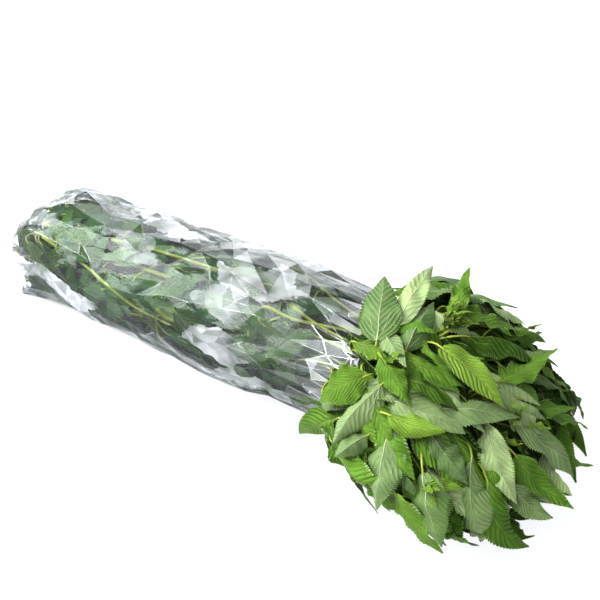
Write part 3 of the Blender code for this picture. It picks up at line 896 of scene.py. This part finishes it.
def grow_layer(number, table, count, along_range, around_range, depth, tip_lift, back):
    """Spreads a layer's leaves evenly over its part of the bunch, by the golden ratio along it."""
    low, high = along_range
    first, last = around_range
    looks = ("sage", "mid", "deep", "grey", "mid", "deep", "pale")
    for index in range(count):
        along = low + (high - low) * ((index * GOLDEN_SHARE + 0.31 * number) % 1.0)
        around = first + (last - first) * (index + 0.5) / count
        for attempt in range(TRIES):
            draw = random.Random(SEED + number * 100000 + index * 100 + attempt)
            loose = 0.3 + attempt / TRIES
            length = LEAF_LENGTH * draw.uniform(0.80, 1.20) * (1 - 0.25 * attempt / TRIES)
            here = around + draw.uniform(-14, 14) * loose
            there = min(max(along + draw.uniform(-0.022, 0.022) * loose, low), high)
            heading = math.radians(heading_for(table, here, draw) + 180 * back)
            turn = turn_over(table, there, here, length * math.sin(heading))
            end = (min(there + length * math.cos(heading), FRONT), here + turn)
            sunk = depth + attempt % DEPTH_STEPS * DEPTH_STEP * (table is HEAD_SECTIONS)
            lift = tip_lift * draw.uniform(0.3, 1.5)
            width = length * LEAF_WIDTH_SHARE * draw.uniform(0.85, 1.15)
            place = place_at(table, (there, here), end, sunk, lift, width, draw)
            place["left_out"] = back and index < 2
            if try_leaf(place, looks[index % len(looks)], may_cross=attempt > TRIES * MAY_CROSS_AFTER):
                break


for number, layer in enumerate(LAYERS):
    grow_layer(number, *layer)

# Leaves deeper in
# The bunch is full to its middle. These are the leaves behind the outer ones, seen through the gaps and
# through the film, on stalks of the same stems. Those between the outer leaves and inside the head are
# painted dark as shade, and those in the bag get painted shade too.
# How many leaves, where along and around, how deep, and their look
INNER_LEAVES = (
    (BAG_SECTIONS, 34, (-0.330, -0.262), (-30, 185), (0.0002, 0.0030), "bag"),
    (BAG_SECTIONS, 100, (-0.325, 0.046), (-75, 285), (0.0030, 0.0055), "bag"),
    (BAG_SECTIONS, 72, (-0.322, 0.050), (-80, 280), (0.0085, 0.0105), "bag"),
    (BAG_SECTIONS, 64, (-0.325, 0.030), (-60, 300), (0.0120, 0.0150), "bag"),
    (BAG_SECTIONS, 50, (-0.315, 0.030), (-70, 290), (0.018, 0.030), "bag"),
    (HEAD_SECTIONS, 54, (0.085, 0.262), (-30, 150), (0.006, 0.013), "among"),
    (HEAD_SECTIONS, 70, (0.070, 0.250), (-30, 330), (0.012, 0.024), "between"),
    (HEAD_SECTIONS, 110, (0.060, 0.235), (-30, 330), (0.024, 0.055), "inner"),
)
# The leaves of the bag end inside it, and those of the head end short of its front
BAG_ENDS = (-0.332, 0.046)
INNER_FRONT = 0.27
inner = [[] for _ in stems]


def hang(place, look):
    """Adds the leaf to the nearest stem, if one is within a stalk's reach."""
    roots = roots_near(place["base"], way_of(place))
    if roots:
        stem, root = roots[0]
        inner[stem].append((root, place, look))


for number, (table, count, (low, high), (first, last), depths, look) in enumerate(INNER_LEAVES):
    in_head = table is HEAD_SECTIONS
    short = number < 2
    for index in range(count):
        draw = random.Random(SEED + 500 * (number + 1) + index)
        there = low + (high - low) * ((index * GOLDEN_SHARE + 0.27 * number) % 1.0)
        here = first + (last - first) * (index + 0.5) / count
        length = LEAF_LENGTH * (draw.uniform(0.50, 0.85) if short else draw.uniform(0.70, 1.10))
        heading = math.radians(heading_for(table, here, draw) * (1.6 if short else 1.0))
        turn = turn_over(table, there, here, length * math.sin(heading))
        if not in_head:
            there += min(0.0, BAG_ENDS[1] - there - length * math.cos(heading))
            there += max(0.0, BAG_ENDS[0] - there - length * math.cos(heading))
        end = (min(there + length * math.cos(heading), INNER_FRONT), here + turn)
        depth = draw.uniform(*depths)
        place = place_at(table, (there, here), end, depth, 0.004 * in_head, length * 0.42, draw)
        place["fold"] = -14.0
        hang(place, look)

# Leaves whose tips stick out past the rest, given as the shown ones are
TIPS_OUT = (
    (0.196, 8, 0.242, -22, 0.010, 0.032, "mid"),
    (0.270, 62, 0.308, 46, 0.010, 0.028, "sage"),
    (0.276, 94, 0.312, 84, 0.012, 0.028, "pale"),
    (0.180, 120, 0.216, 126, 0.012, 0.030, "fresh"),
    (0.212, 118, 0.236, 134, 0.014, 0.026, "sage"),
)
for index, (along, around, tip_along, tip_around, lift, width, look) in enumerate(TIPS_OUT):
    draw = random.Random(SEED + 8000 + index)
    place = place_at(HEAD_SECTIONS, (along, around), (tip_along, tip_around), 0.002, lift, width, draw)
    hang(place, look)

# Leaves that lie flat against the near side of the film, given as base, tip, width and look
UNDER_FILM = (
    (0.000, 18, 0.038, 58, 0.038, "pressed mid"),
    (-0.107, 30, -0.043, 4, 0.034, "pressed deep"),
    (-0.071, 72, -0.027, 66, 0.030, "pressed deep"),
    (-0.135, 36, -0.095, 68, 0.030, "pressed deep"),
    (-0.027, 22, 0.009, 12, 0.026, "pressed mid"),
    (0.010, 16, 0.042, 4, 0.024, "pressed pale"),
    (-0.046, 2, -0.003, -28, 0.032, "pressed pale"),
    (-0.007, -22, 0.042, -16, 0.026, "pressed pale"),
    (-0.275, 44, -0.287, 86, 0.020, "pressed mid"),
    (-0.271, 60, -0.235, 58, 0.020, "pressed mid"),
    (-0.251, 54, -0.215, 50, 0.022, "pressed mid"),
    (-0.222, 92, -0.190, 84, 0.022, "pressed mid"),
    (-0.206, 76, -0.172, 70, 0.022, "pressed mid"),
    (-0.195, 104, -0.155, 100, 0.022, "pressed deep"),
    (-0.078, 86, -0.047, 82, 0.020, "pressed mid"),
    (-0.030, 80, 0.000, 74, 0.020, "pressed mid"),
    (-0.012, 46, 0.020, 40, 0.024, "pressed mid"),
)
for index, (along, around, tip_along, tip_around, width, look) in enumerate(UNDER_FILM):
    draw = random.Random(SEED + 8500 + index)
    place = place_at(BAG_SECTIONS, (along, around), (tip_along, tip_around), 0.0, 0.0, width, draw)
    place["fold"] = -6.0
    hang(place, look)

# Some leaves are folded over the cut ends, against the shut end of the bag
FOLDED_OVER = 22
for index in range(FOLDED_OVER):
    draw = random.Random(SEED + 9000 + index)
    turn = math.radians(360 * index / FOLDED_OVER + draw.uniform(-12, 12))
    reach = draw.uniform(0.25, 0.95)
    base = Vector((-0.322, 0.054 * reach * math.cos(turn), 0.042 + 0.040 * reach * math.sin(turn)))
    turn += math.radians(draw.uniform(70, 290))
    tip = base + Vector((draw.uniform(-0.006, 0.002), math.cos(turn), math.sin(turn) * 0.7)) * 0.046
    tip.x = -0.328 + draw.uniform(0, 0.005)
    tip.z = min(max(tip.z, 0.006), 0.080)
    middle = (base + tip) / 2 - Vector((0.004, 0, 0))
    place = {
        "base": base,
        "middle": middle,
        "tip": tip,
        "width": draw.uniform(0.018, 0.030),
        "facing": Vector((-1.0, 0.1, 0.2)).normalized(),
        "fold": -10.0,
        "wave": 0.002,
        "phase": draw.uniform(0, 6),
    }
    ends = [(path[0] - base).length for path in stems]
    nearest = ends.index(min(ends))
    inner[nearest].append((stems[nearest][0] + Vector((0.004, 0, 0)), place, "bag"))

# Twigs
# Side shoots of the same stems, green and thin. Some lie against the film, and some in the head end in a
# tuft of small young leaves.
TWIG_RADIUS = 0.0025
TWIG_DEPTH = 0.0024
# Places (along, around) that each twig in the bag passes through
BAG_TWIGS = (
    ((-0.300, 48), (-0.267, 42), (-0.231, 36), (-0.191, 25), (-0.155, 17), (-0.110, 14)),
    ((-0.125, 22), (-0.090, 19), (-0.055, 14), (-0.043, -4), (-0.036, -22)),
    ((-0.215, 70), (-0.187, 74), (-0.143, 76), (-0.087, 79), (-0.050, 84)),
    ((-0.020, 62), (0.009, 60), (0.045, 68), (0.080, 74)),
    ((0.005, 70), (0.040, 64), (0.085, 62)),
    ((-0.060, 118), (-0.010, 110), (0.030, 96), (0.070, 88)),
    ((-0.300, 140), (-0.230, 150), (-0.160, 152), (-0.090, 166)),
    ((-0.280, 214), (-0.200, 196), (-0.120, 190), (-0.040, 180)),
)
# Where the tufts grow in the head (along, around), and how many leaves each has
HEAD_TUFTS = (
    (0.157, 97, 10),
    (0.216, 30, 6),
    (0.134, 60, 6),
    (0.245, 88, 6),
    (0.190, 160, 7),
    (0.230, 210, 7),
    (0.140, 190, 6),
)
twigs = [[] for _ in stems]


def nearest_on_stems(point, reach_back):
    """The nearest stem's number and the point on it, a little nearer to the cut end."""
    wanted = point - Vector((reach_back, 0, 0))
    spots = [
        ((path[i].lerp(path[i + 1], part) - wanted).length, number, i, part)
        for number, path in enumerate(stems)
        for i in range(len(path) - 1)
        for part in (0.0, 0.5)
    ]
    _, number, i, part = min(spots)
    return number, stems[number][i].lerp(stems[number][i + 1], part)


for spots in BAG_TWIGS:
    points = [on_surface(BAG_SECTIONS, *spot, TWIG_DEPTH + TWIG_RADIUS)[0] for spot in spots]
    number, root = nearest_on_stems(points[0], 0.020)
    twigs[number].append((smooth_path([root, *points], 4), TWIG_RADIUS, 0.0011))

for index, (along, around, count) in enumerate(HEAD_TUFTS):
    point, outward = on_surface(HEAD_SECTIONS, along, around, 0.018 if around < 130 else 0.026)
    number, root = nearest_on_stems(point, 0.030)
    way = (Vector((0.9, 0, 0)) + outward * 0.8).normalized()
    shoot = smooth_path([root, root.lerp(point, 0.5) - way * 0.006, point], 5)
    twigs[number].append((shoot, 0.0014, 0.0009))
    for k in range(count):
        draw = random.Random(SEED + 7000 + 100 * index + k)
        length = draw.uniform(0.015, 0.034)
        out = Vector([draw.uniform(-1, 1) for _ in range(3)])
        heading = (way + out * 0.75).normalized()
        facing = (outward - heading * outward.dot(heading) + out * 0.35).normalized()
        width = length * draw.uniform(0.36, 0.50)
        place = small_leaf(point + heading * 0.002, heading, facing, length, width)
        place |= {"fold": 14.0, "wave": 0.0008, "phase": draw.uniform(0, 6)}
        place["short"] = draw.uniform(0.8, 1.0)
        inner[number].append((point, place, "young"))

# What a leaf's blade is made of
# Each blade is soft green leaf, deeper green above and paler below, folded along its rib, with a saw edge
# that ruffles. Its rib and side veins are pale, and the leaf is quilted between them.
SIDE_VEINS = 11.0
VEIN_LEAN = 1.10
VEIN_CURVE = 1.8
BLADE_THICKNESS = 0.00035
BLADE_FINE = (64, 10)
BLADE_PLAIN = (40, 8)
BLADE_COARSE = (22, 6)
BLADE_WIDTH = 0.86
BLADE_LENGTH = 1.05
CRUMPLE = 0.0009
CURLED_SHARE = 0.28
# The saw edge: how far teeth and notches reach, against the blade's half width, and how far teeth point ahead
TOOTH = 1.045
NOTCH = 0.94
TOOTH_SLANT = 0.45
DROOP_FROM = 0.58
DROOP_BEND = 1.8
RIB_SUNK = 0.0007
RIB_WIDTH = 0.09
HALF_WIDTH_LEAST = 0.0011
BLADE_LOWEST = 0.0008


def blade_net(rows, columns):
    """The faces of a blade with that many rows and columns: its upper skin, then its lower skin."""
    width = columns + 1
    top = np.arange(rows * width).reshape(rows, width)
    tip = rows * width
    under = top.copy()
    under[:, 1:-1] = tip + 1 + np.arange(rows * (columns - 1)).reshape(rows, columns - 1)
    upper, lower = [], []
    for i in range(rows - 1):
        for j in range(columns):
            upper.append((top[i, j], top[i, j + 1], top[i + 1, j + 1], top[i + 1, j]))
            lower.append((under[i + 1, j], under[i + 1, j + 1], under[i, j + 1], under[i, j]))
    for j in range(columns):
        upper.append((top[-1, j], top[-1, j + 1], tip))
        lower.append((tip, under[-1, j + 1], under[-1, j]))
    ends = [(top[0, j + 1], top[0, j], under[0, j], under[0, j + 1]) for j in range(1, columns - 1)]
    last = columns - 1
    ends += [(top[0, 1], top[0, 0], under[0, 1]), (top[0, columns], top[0, last], under[0, last])]
    return [[[int(corner) for corner in face] for face in skin] for skin in (upper, lower + ends)]


nets = {size: blade_net(*size) for size in (BLADE_FINE, BLADE_PLAIN, BLADE_COARSE)}


def unit(vectors):
    """The same vectors, each of length 1."""
    return vectors / np.maximum(np.linalg.norm(vectors, axis=-1, keepdims=True), 1e-9)


def blade_points(place, size, draw, flat=0.0):
    """The corners of a fine blade, and each one's place on it, across and along, as shares of its length."""
    rows, columns = size
    base, middle, tip = (np.array(place[key]) for key in ("base", "middle", "tip"))
    tip = middle + (tip - middle) * (1 + (BLADE_LENGTH - 1) * 2 * (1 - flat)) * place.get("short", 1.0)
    length = np.linalg.norm(middle - base) + np.linalg.norm(tip - middle)
    curled = (draw.random() < CURLED_SHARE) * (1 - flat)
    s = (0.012 + 0.988 * np.arange(rows) / rows)[:, None]
    t = np.linspace(-1, 1, columns + 1)[None, :]
    side, out = np.sign(t), np.abs(t)
    centre = along_leaf(base, middle, tip, s)
    ahead = unit(base * (4 * s - 3) + middle * (4 - 8 * s) + tip * (4 * s - 1))
    across = unit(np.cross(ahead, np.array(place["facing"])))
    up = unit(np.cross(across, ahead))
    roll = (draw.uniform(-0.5, 0.5) + draw.choice((-0.9, 0.9)) * curled) * (1 - flat) * (s - 0.3)
    across, up = across * np.cos(roll) + up * np.sin(roll), up * np.cos(roll) - across * np.sin(roll)
    outline = np.sin(np.pi * s**0.72) ** 0.86 * (1 - 0.10 * np.clip((s - 0.60) / 0.40, 0, 1))
    taper = outline / outline.max()
    half = np.maximum(place["width"] / 2 * BLADE_WIDTH * outline, HALF_WIDTH_LEAST)
    toothed = (np.arange(rows) % 2)[:, None]
    edge = out > 0.999
    reach = half * t * np.where(edge, np.where(toothed, TOOTH, NOTCH), 1.0)
    fold = math.radians(place["fold"] - draw.uniform(0, 14) * (1 - flat) - 16 * curled) * (1 - 0.6 * flat)
    lift = np.abs(reach) * math.sin(fold)
    lift = lift - side * t**2 * place["wave"] * taper * np.sin(9 * s + place["phase"]) * (1 - 0.5 * flat)
    ruffle = draw.uniform(0.0008, 0.0030) * (1 - flat) * taper
    turns, shift = draw.uniform(2.2, 3.8), draw.uniform(0, 6)
    lift = lift + out**2.5 * ruffle * np.sin(2 * math.pi * turns * s + shift + 1.9 * side)
    cup = draw.uniform(-0.30, 0.20) - 0.4 * curled
    lift = lift + cup * (1 - flat) * half * t**2
    droop = (draw.uniform(-0.05, 0.30) + 0.5 * curled) * (1 - flat)
    lift = lift - droop * length * np.clip(s - DROOP_FROM, 0, 1) ** 2 * DROOP_BEND
    for _ in range(3):
        slope, tilt, start = draw.uniform(0.8, 3.2), draw.uniform(-0.7, 0.7), draw.random()
        waves = np.sin(2 * math.pi * (slope * s + tilt * t + start))
        lift = lift + CRUMPLE * (1 - 0.7 * flat) * taper * waves
    lift = lift - RIB_SUNK * place["side_up"] * np.exp(-((t / RIB_WIDTH) ** 2)) * (1 - s)
    slant = np.where(edge, TOOTH_SLANT / rows * length * toothed, 0.0)
    points = centre[:, None, :] + across[:, None, :] * (reach * math.cos(fold))[:, :, None]
    points = points + up[:, None, :] * lift[:, :, None] + ahead[:, None, :] * slant[:, :, None]
    end = tip - up[-1] * droop * length * (1 - DROOP_FROM) ** 2 * DROOP_BEND
    below = points[:, 1:-1] - up[:, None, :] * BLADE_THICKNESS
    corners = np.concatenate([points.reshape(-1, 3), end[None], below.reshape(-1, 3)])
    spot = np.stack([reach / length, np.broadcast_to(s, reach.shape)], axis=2)
    spots = np.concatenate([spot.reshape(-1, 2), [[0.0, 1.0]], spot[:, 1:-1].reshape(-1, 2)])
    corners[:, 2] = np.maximum(corners[:, 2], BLADE_LOWEST)
    return corners, spots


veins, given, result = add_group(
    "jute veins",
    [
        ("Place", "NodeSocketVector", None),
        ("Side Veins", "NodeSocketFloat", SIDE_VEINS),
        ("Pleats", "NodeSocketFloat", 1.0),
    ],
    [(label, "NodeSocketFloat") for label in ("Rib", "Vein", "Height", "Mottle", "Specks")],
)
across, along, own = fed_node(veins, "SeparateXYZ", {0: given["Place"]})
across = sum_of(veins, "ABSOLUTE", across)
# The side veins, which lean and curve forward, and wander a little
lean = sum_of(veins, "MULTIPLY_ADD", across, VEIN_CURVE, VEIN_LEAN)
forward = sum_of(veins, "SUBTRACT", along, product_of(veins, across, lean))
wander = noise_of(veins, given["Place"], 4.5, 2.0)
forward = sum_of(veins, "MULTIPLY_ADD", wander, 0.11, forward)
turn = sum_of(veins, "FRACT", product_of(veins, forward, given["Side Veins"]))
off_vein = sum_of(veins, "MINIMUM", turn, sum_of(veins, "SUBTRACT", 1.0, turn))
vein_mask = between(veins, off_vein, 0.02, 0.13, 1.0, 0.0)
# The rib, which tapers, and a nerve on each side of it near the base
tapered = product_of(veins, sum_of(veins, "SUBTRACT", 1.12, along), 0.0125)
rib_mask = between(veins, sum_of(veins, "DIVIDE", across, tapered), 0.35, 1.15, 1.0, 0.0)
spread = product_of(veins, along, sum_of(veins, "MULTIPLY_ADD", along, -0.24, 0.40))
off_nerve = sum_of(veins, "ABSOLUTE", sum_of(veins, "SUBTRACT", across, spread))
nerve_mask = between(veins, off_nerve, 0.002, 0.008, 0.75, 0.0)
nerve_mask = product_of(veins, nerve_mask, between(veins, along, 0.30, 0.50, 1.0, 0.0))
rib_mask = sum_of(veins, "MAXIMUM", rib_mask, nerve_mask)
# Brown specks on some leaves
specks = fed_node(veins, "TexVoronoi", {"Vector": given["Place"], "Scale": 11.0})["Distance"]
speckled = between(veins, own, 0.55, 0.60)
speck_mask = product_of(veins, between(veins, specks, 0.035, 0.075, 1.0, 0.0), speckled)
# The quilting: the leaf stands up between its veins, with a fine net of cells over it
net = {"Vector": given["Place"], "Scale": 60.0}
net = fed_node(veins, "TexVoronoi", net, feature="DISTANCE_TO_EDGE")["Distance"]
wave = sum_of(veins, "COSINE", product_of(veins, turn, 2 * math.pi))
ridge = product_of(
    veins,
    sum_of(veins, "MULTIPLY_ADD", wave, -0.5, 0.5),
    between(veins, across, 0.004, 0.045),
    given["Pleats"],
    between(veins, own, 0.0, 1.0, 0.35, 1.15),
)
height = sum_of(veins, "MULTIPLY_ADD", between(veins, net, 0.0, 0.16), 0.06, ridge)
height = sum_of(veins, "MULTIPLY_ADD", vein_mask, -0.35, height)
feed(veins, result["Height"], sum_of(veins, "MULTIPLY_ADD", rib_mask, -0.9, height))
feed(veins, result["Rib"], rib_mask)
feed(veins, result["Vein"], vein_mask)
feed(veins, result["Mottle"], noise_of(veins, given["Place"], 9.0, 5.0, 0.62))
feed(veins, result["Specks"], speck_mask)

RIB_SHARE = 0.85
SPECK_SHARE = 0.8
DRY_SPECK = (0.050, 0.030, 0.012, 1.0)
QUILT_HEIGHT = 0.0010


def blade_material(name, greens, roughness, gloss, height_sign, pleats, vein_share):
    """One face of the blades: its green by leaf, with painted shade for leaves in the bag, its veins and its
    soft sheen.
    """
    deep, light, young, rib, pressed = greens
    material, tree, skin = finish_material(name)
    place = fed_node(tree, "Attribute", {}, attribute_name="blade_place")["Vector"]
    look = fed_node(tree, "Attribute", {}, attribute_name="leaf_look")["Vector"]
    lightness, youth, shade = fed_node(tree, "SeparateXYZ", {0: look})
    group = tree.nodes.new("ShaderNodeGroup")
    group.node_tree = veins
    feed(tree, group.inputs["Place"], place)
    feed(tree, group.inputs["Pleats"], pleats)
    tone = sum_of(tree, "MULTIPLY_ADD", group.outputs["Mottle"], 0.5, lightness)
    tone = sum_of(tree, "SUBTRACT", tone, 0.25, clamp=True)
    green = blend_of(tree, tone, deep, light)
    green = blend_of(tree, youth, green, young)
    green = blend_of(tree, product_of(tree, group.outputs["Vein"], vein_share), green, rib)
    green = blend_of(tree, product_of(tree, group.outputs["Rib"], RIB_SHARE), green, rib)
    # Painted shade: leaves in the bag are mixed towards a darker bluish green by their shade value
    green = blend_of(tree, shade, green, pressed)
    green = blend_of(tree, product_of(tree, group.outputs["Specks"], SPECK_SHARE), green, DRY_SPECK)
    rough = between(tree, group.outputs["Mottle"], 0.3, 0.7, roughness - 0.07, roughness + 0.07)
    feed(tree, skin.inputs["Base Color"], green)
    feed(tree, skin.inputs["Roughness"], rough)
    bumped = bump_of(tree, group.outputs["Height"], 1.0, QUILT_HEIGHT * height_sign)
    feed(tree, skin.inputs["Normal"], bumped)
    feed(tree, skin.inputs["Specular IOR Level"], gloss)
    return material


# The greens are deep, light, young, rib, and a darker bluish green painted as shade on leaves in the bag
TOP_GREENS = (
    (0.005, 0.030, 0.001, 1.0),
    (0.165, 0.318, 0.052, 1.0),
    (0.330, 0.470, 0.085, 1.0),
    (0.300, 0.400, 0.095, 1.0),
    (0.036, 0.135, 0.050, 1.0),
)
UNDER_GREENS = (
    (0.066, 0.160, 0.030, 1.0),
    (0.400, 0.515, 0.262, 1.0),
    (0.260, 0.380, 0.040, 1.0),
    (0.600, 0.660, 0.420, 1.0),
    (0.066, 0.190, 0.085, 1.0),
)
blade_top = blade_material("upper face of the leaf", TOP_GREENS, 0.42, 0.12, 1.0, 0.85, 0.16)
blade_under = blade_material("under face of the leaf", UNDER_GREENS, 0.48, 0.34, -1.0, 0.42, 0.24)

# How each look is made: which face is out, how light the leaf is and how young. The leaves between the others
# and inside the bunch are made dark as painted shade.
LOOKS = {
    "bright": (1, 1.05, 0.60),
    "young": (1, 0.85, 0.55),
    "pale": (-1, 0.95, 0.00),
    "sage": (-1, 0.60, 0.00),
    "grey": (-1, 0.28, 0.00),
    "fresh": (1, 0.80, 0.15),
    "mid": (1, 0.80, 0.04),
    "deep": (1, 0.60, 0.00),
    "curled": (1, 0.70, 0.05),
    "between": (1, 0.25, 0.00),
    "inner": (1, 0.15, 0.00),
    "bag": (1, 0.30, 0.00),
    "pressed mid": (1, 0.85, 0.08),
    "pressed deep": (1, 0.40, 0.00),
    "pressed pale": (-1, 0.70, 0.00),
}
COARSE_LOOKS = ("young", "inner", "bag")
STALK_SIDES = 6
STALK_STEPS = 6


def stalk_shape(root, place):
    """A leaf's stalk, bent a little, from the stem to a short way along the rib."""
    base = Vector(place["base"])
    way = (Vector(place["middle"]) - base).normalized()
    reach = (base - root).length
    bend = base - way * reach * 0.3
    points = []
    for i in range(STALK_STEPS + 1):
        t = i / STALK_STEPS
        points.append(root * (1 - t) ** 2 + bend * 2 * t * (1 - t) + base * t**2)
    points.append(base + way * 0.004 - Vector(place["facing"]) * 0.0004)
    radii = [PETIOLE_RADIUS * (1.35 - 0.45 * i / STALK_STEPS) for i in range(STALK_STEPS + 1)]
    return tube(points, radii + [PETIOLE_RADIUS * 0.7], STALK_SIDES)


# How far a blade may stand out of the CAD model's box, and how far inside the film it is held
PROUD = 0.004
FILM_ROOM = 0.0004
# Where the bunch counts as in the bag, how flat a blade lies there and where it would stand out of the box,
# how much painted shade the leaves lying flat under the film get, and the looks of the leaves among the shown
# ones
IN_BAG = 0.03
FLAT_IN_BAG = 0.80
FLATTEST = 0.95
PRESSED_SHADE = 0.3
AMONG_LOOKS = ("sage", "mid", "deep", "grey", "mid", "pale", "fresh")
low_limit = np.array(cad_box[0]) - np.array(MOVED) - PROUD
high_limit = np.array(cad_box[1]) - np.array(MOVED) + PROUD


def is_outside(points):
    """Whether a blade reaches out of the room that the bunch takes up."""
    return bool((points.min(0) < low_limit).any() or (points.max(0) > high_limit).any())


def held_in(points, upper_count):
    """A blade's corners, with those that reach out through the film laid just inside it."""
    for i, point in enumerate(points):
        near, out, _, _ = film_skin.find_nearest(Vector(point))
        room = FILM_ROOM + (i >= upper_count) * BLADE_THICKNESS
        if (Vector(point) - near).dot(out) > -room:
            points[i] = near - out * room


def leafy_stem(number):
    """One leafy stem: the stem, its stalks and its blades in one mesh of three materials."""
    corners, faces, slots, spots, looks = [], [], [], [], []

    def take(new_corners, skins, new_spots, look):
        """Adds corners with their skins, each as its faces and its material's slot."""
        first = len(corners)
        corners.extend(new_corners)
        spots.extend(new_spots)
        looks.extend([look] * len(new_corners))
        for skin, slot in skins:
            faces.extend([corner + first for corner in face] for face in skin)
            slots.extend([slot] * len(skin))

    def take_tube(shape, tone):
        take(shape[0], [(shape[1], 0)], [(0, 0, 0)] * len(shape[0]), (0, tone, 0))

    path = smooth_path(stems[number], STEM_FINE_STEPS)
    radii = [stem_radius(i / STEM_FINE_STEPS) for i in range(len(path))]
    draw = random.Random(number)
    take_tube(tube(path, radii, STEM_FINE_SIDES), draw.uniform(0.1, 0.7))
    for twig, thick, thin in twigs[number]:
        radii = [thick + (thin - thick) * i / (len(twig) - 1) for i in range(len(twig))]
        take_tube(tube(twig, radii, STEM_FINE_SIDES), 0.9)
    for index, (root, place, kind) in enumerate(grown[number] + inner[number]):
        draw = random.Random(number * 977 + index)
        extra = index >= len(grown[number])
        if kind == "among":
            kind = draw.choice(AMONG_LOOKS)
            place["short"] = draw.uniform(0.75, 1.0)
        side, light, youth = LOOKS[kind]
        in_bag = place["middle"].x < IN_BAG
        flat = kind.startswith("pressed")
        if kind in ("between", "inner", "bag") or in_bag and not flat:
            side = 1 if kind == "between" else draw.choice((-1, 1, 1, 1))
            # Painted shade: leaves between the others are kept dark; the others here get a random tone
            light = draw.uniform(0.0, 0.3 if kind == "between" else 0.70)
            youth = draw.choice((0.0, 0.0, 0.12, 0.30)) * in_bag
        if in_bag and not flat:
            place["short"] = draw.uniform(0.55, 0.95)
            place["width"] *= draw.uniform(0.70, 1.0)
        if place.get("left_out"):
            continue
        if kind == "curled":
            place["short"] = 0.6
        place["side_up"] = side
        # Painted shade: the leaves inside the head are made almost as dark as the deepest green
        if kind == "inner":
            side, light = 1, 0.02
        # Painted shade: leaves in the bag are darkened by a random share, and those lying flat under the film
        # by a set share
        shade = draw.uniform(0.2, 0.9) if in_bag else 0.0
        if flat:
            shade = PRESSED_SHADE
        size = BLADE_PLAIN if in_bag or extra else BLADE_FINE
        if kind in COARSE_LOOKS:
            size = BLADE_COARSE
        points, places = blade_points(place, size, draw, FLAT_IN_BAG if in_bag else 0.0)
        if is_outside(points):
            points, places = blade_points(place, size, draw, FLATTEST)
        if is_outside(points) and extra:
            continue
        if place["tip"].x < IN_BAG or flat:
            held_in(points, size[0] * (size[1] + 1) + 1)
        look = (light + draw.uniform(-0.16, 0.16), max(0.0, youth + draw.uniform(-0.05, 0.12)), shade)
        own = draw.random()
        skins = zip(nets[size], (1, 2) if side > 0 else (2, 1))
        take(points, skins, [(across, along, own) for across, along in places], look)
        take_tube(stalk_shape(root, place), 0.4 + youth * 0.5)
    name = f"jute_stem_{number + 1:02d}"
    mesh = bpy.data.meshes.new(name)
    mesh.from_pydata([tuple(corner) for corner in corners], [], faces)
    piece = add_piece(name, mesh, [stem_green, blade_top, blade_under], slots)
    for label, values in (("blade_place", spots), ("leaf_look", looks)):
        layer = mesh.attributes.new(label, "FLOAT_VECTOR", "POINT")
        layer.data.foreach_set("vector", np.array(values, np.float32).ravel())
    mesh.set_sharp_from_angle(angle=math.radians(60))
    return piece


for number in range(len(stems)):
    piece = leafy_stem(number)
    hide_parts(f"leafy_stem_{number + 1:02d}")
    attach(piece, "root")

# The studio
# A white sweep, a broad soft box on the left, a white wall behind and a weak lamp on the right in front, and
# the camera at the photograph's angle.
CAMERA_AZIMUTH = 33.0
CAMERA_HEIGHT_ANGLE = 38.0
CAMERA_DISTANCE = 1.40
CAMERA_LENS = 85.0
LOOK_AT = Vector((0.0, 0.0, 0.05)) + MOVED
SHIFT_ACROSS = -0.007
SHIFT_UP = 0.063
LAMPS_FACE = Vector((0.05, 0, 0.05))

aside, up = math.radians(CAMERA_AZIMUTH), math.radians(CAMERA_HEIGHT_ANGLE)
back = Vector((math.sin(aside) * math.cos(up), -math.cos(aside) * math.cos(up), math.sin(up)))
lens = bpy.data.cameras.new("camera")
lens.lens = CAMERA_LENS
lens.shift_x = SHIFT_ACROSS
lens.shift_y = SHIFT_UP
camera = add_object("camera", lens)
camera.location = LOOK_AT + back * CAMERA_DISTANCE
camera.rotation_euler = back.to_track_quat("Z", "Y").to_euler()
bpy.context.scene.camera = camera


def add_lamp(name, place, wide, high, power):
    """A soft lamp that faces the bunch."""
    light = bpy.data.lights.new(name, "AREA")
    light.shape = "RECTANGLE"
    light.size = wide
    light.size_y = high
    light.energy = power
    lamp = add_object(name, light)
    lamp.location = place
    lamp.rotation_euler = (Vector(place) - LAMPS_FACE).to_track_quat("Z", "Y").to_euler()


add_lamp("soft box on the left", (-1.05, -0.45, 1.45), 1.9, 1.8, 66.0)
add_lamp("white wall behind", (-0.3, 2.2, 0.75), 3.2, 1.3, 18.0)
add_lamp("weak lamp in front", (0.80, -1.10, 1.35), 1.4, 1.4, 15.0)

# The room is whiter low down, where it meets the sweep
ROOM_WHITE = (0.97, 0.975, 1.0, 1.0)
SWEEP_GREY = (0.26, 0.26, 0.265, 1.0)
SWEEP_GLOW = (0.97, 0.97, 1.0, 1.0)
SWEEP_SIZE = 40.0
world = bpy.data.worlds.new("white room")
world.use_nodes = True
tree = world.node_tree
_, _, height = fed_node(tree, "SeparateXYZ", {0: fed_node(tree, "TexCoord", {})["Generated"]})
feed(tree, tree.nodes["Background"].inputs["Strength"], between(tree, height, 0.02, 0.20, 1.0, 0.10))
feed(tree, tree.nodes["Background"].inputs["Color"], ROOM_WHITE)
bpy.context.scene.world = world

floor_white, tree, paint = finish_material("white sweep")
paint.inputs["Base Color"].default_value = SWEEP_GREY
paint.inputs["Roughness"].default_value = 0.9
paint.inputs["Emission Color"].default_value = SWEEP_GLOW
paint.inputs["Emission Strength"].default_value = 0.76
shape = bmesh.new()
bmesh.ops.create_grid(shape, x_segments=2, y_segments=2, size=SWEEP_SIZE)
mesh = bpy.data.meshes.new("white sweep")
shape.to_mesh(mesh)
shape.free()
mesh.materials.append(floor_white)
add_object("white_sweep", mesh)

bpy.context.scene.view_settings.view_transform = "Standard"
bpy.context.scene.view_settings.gamma = 0.765
bpy.context.scene.view_settings.exposure = 0.23
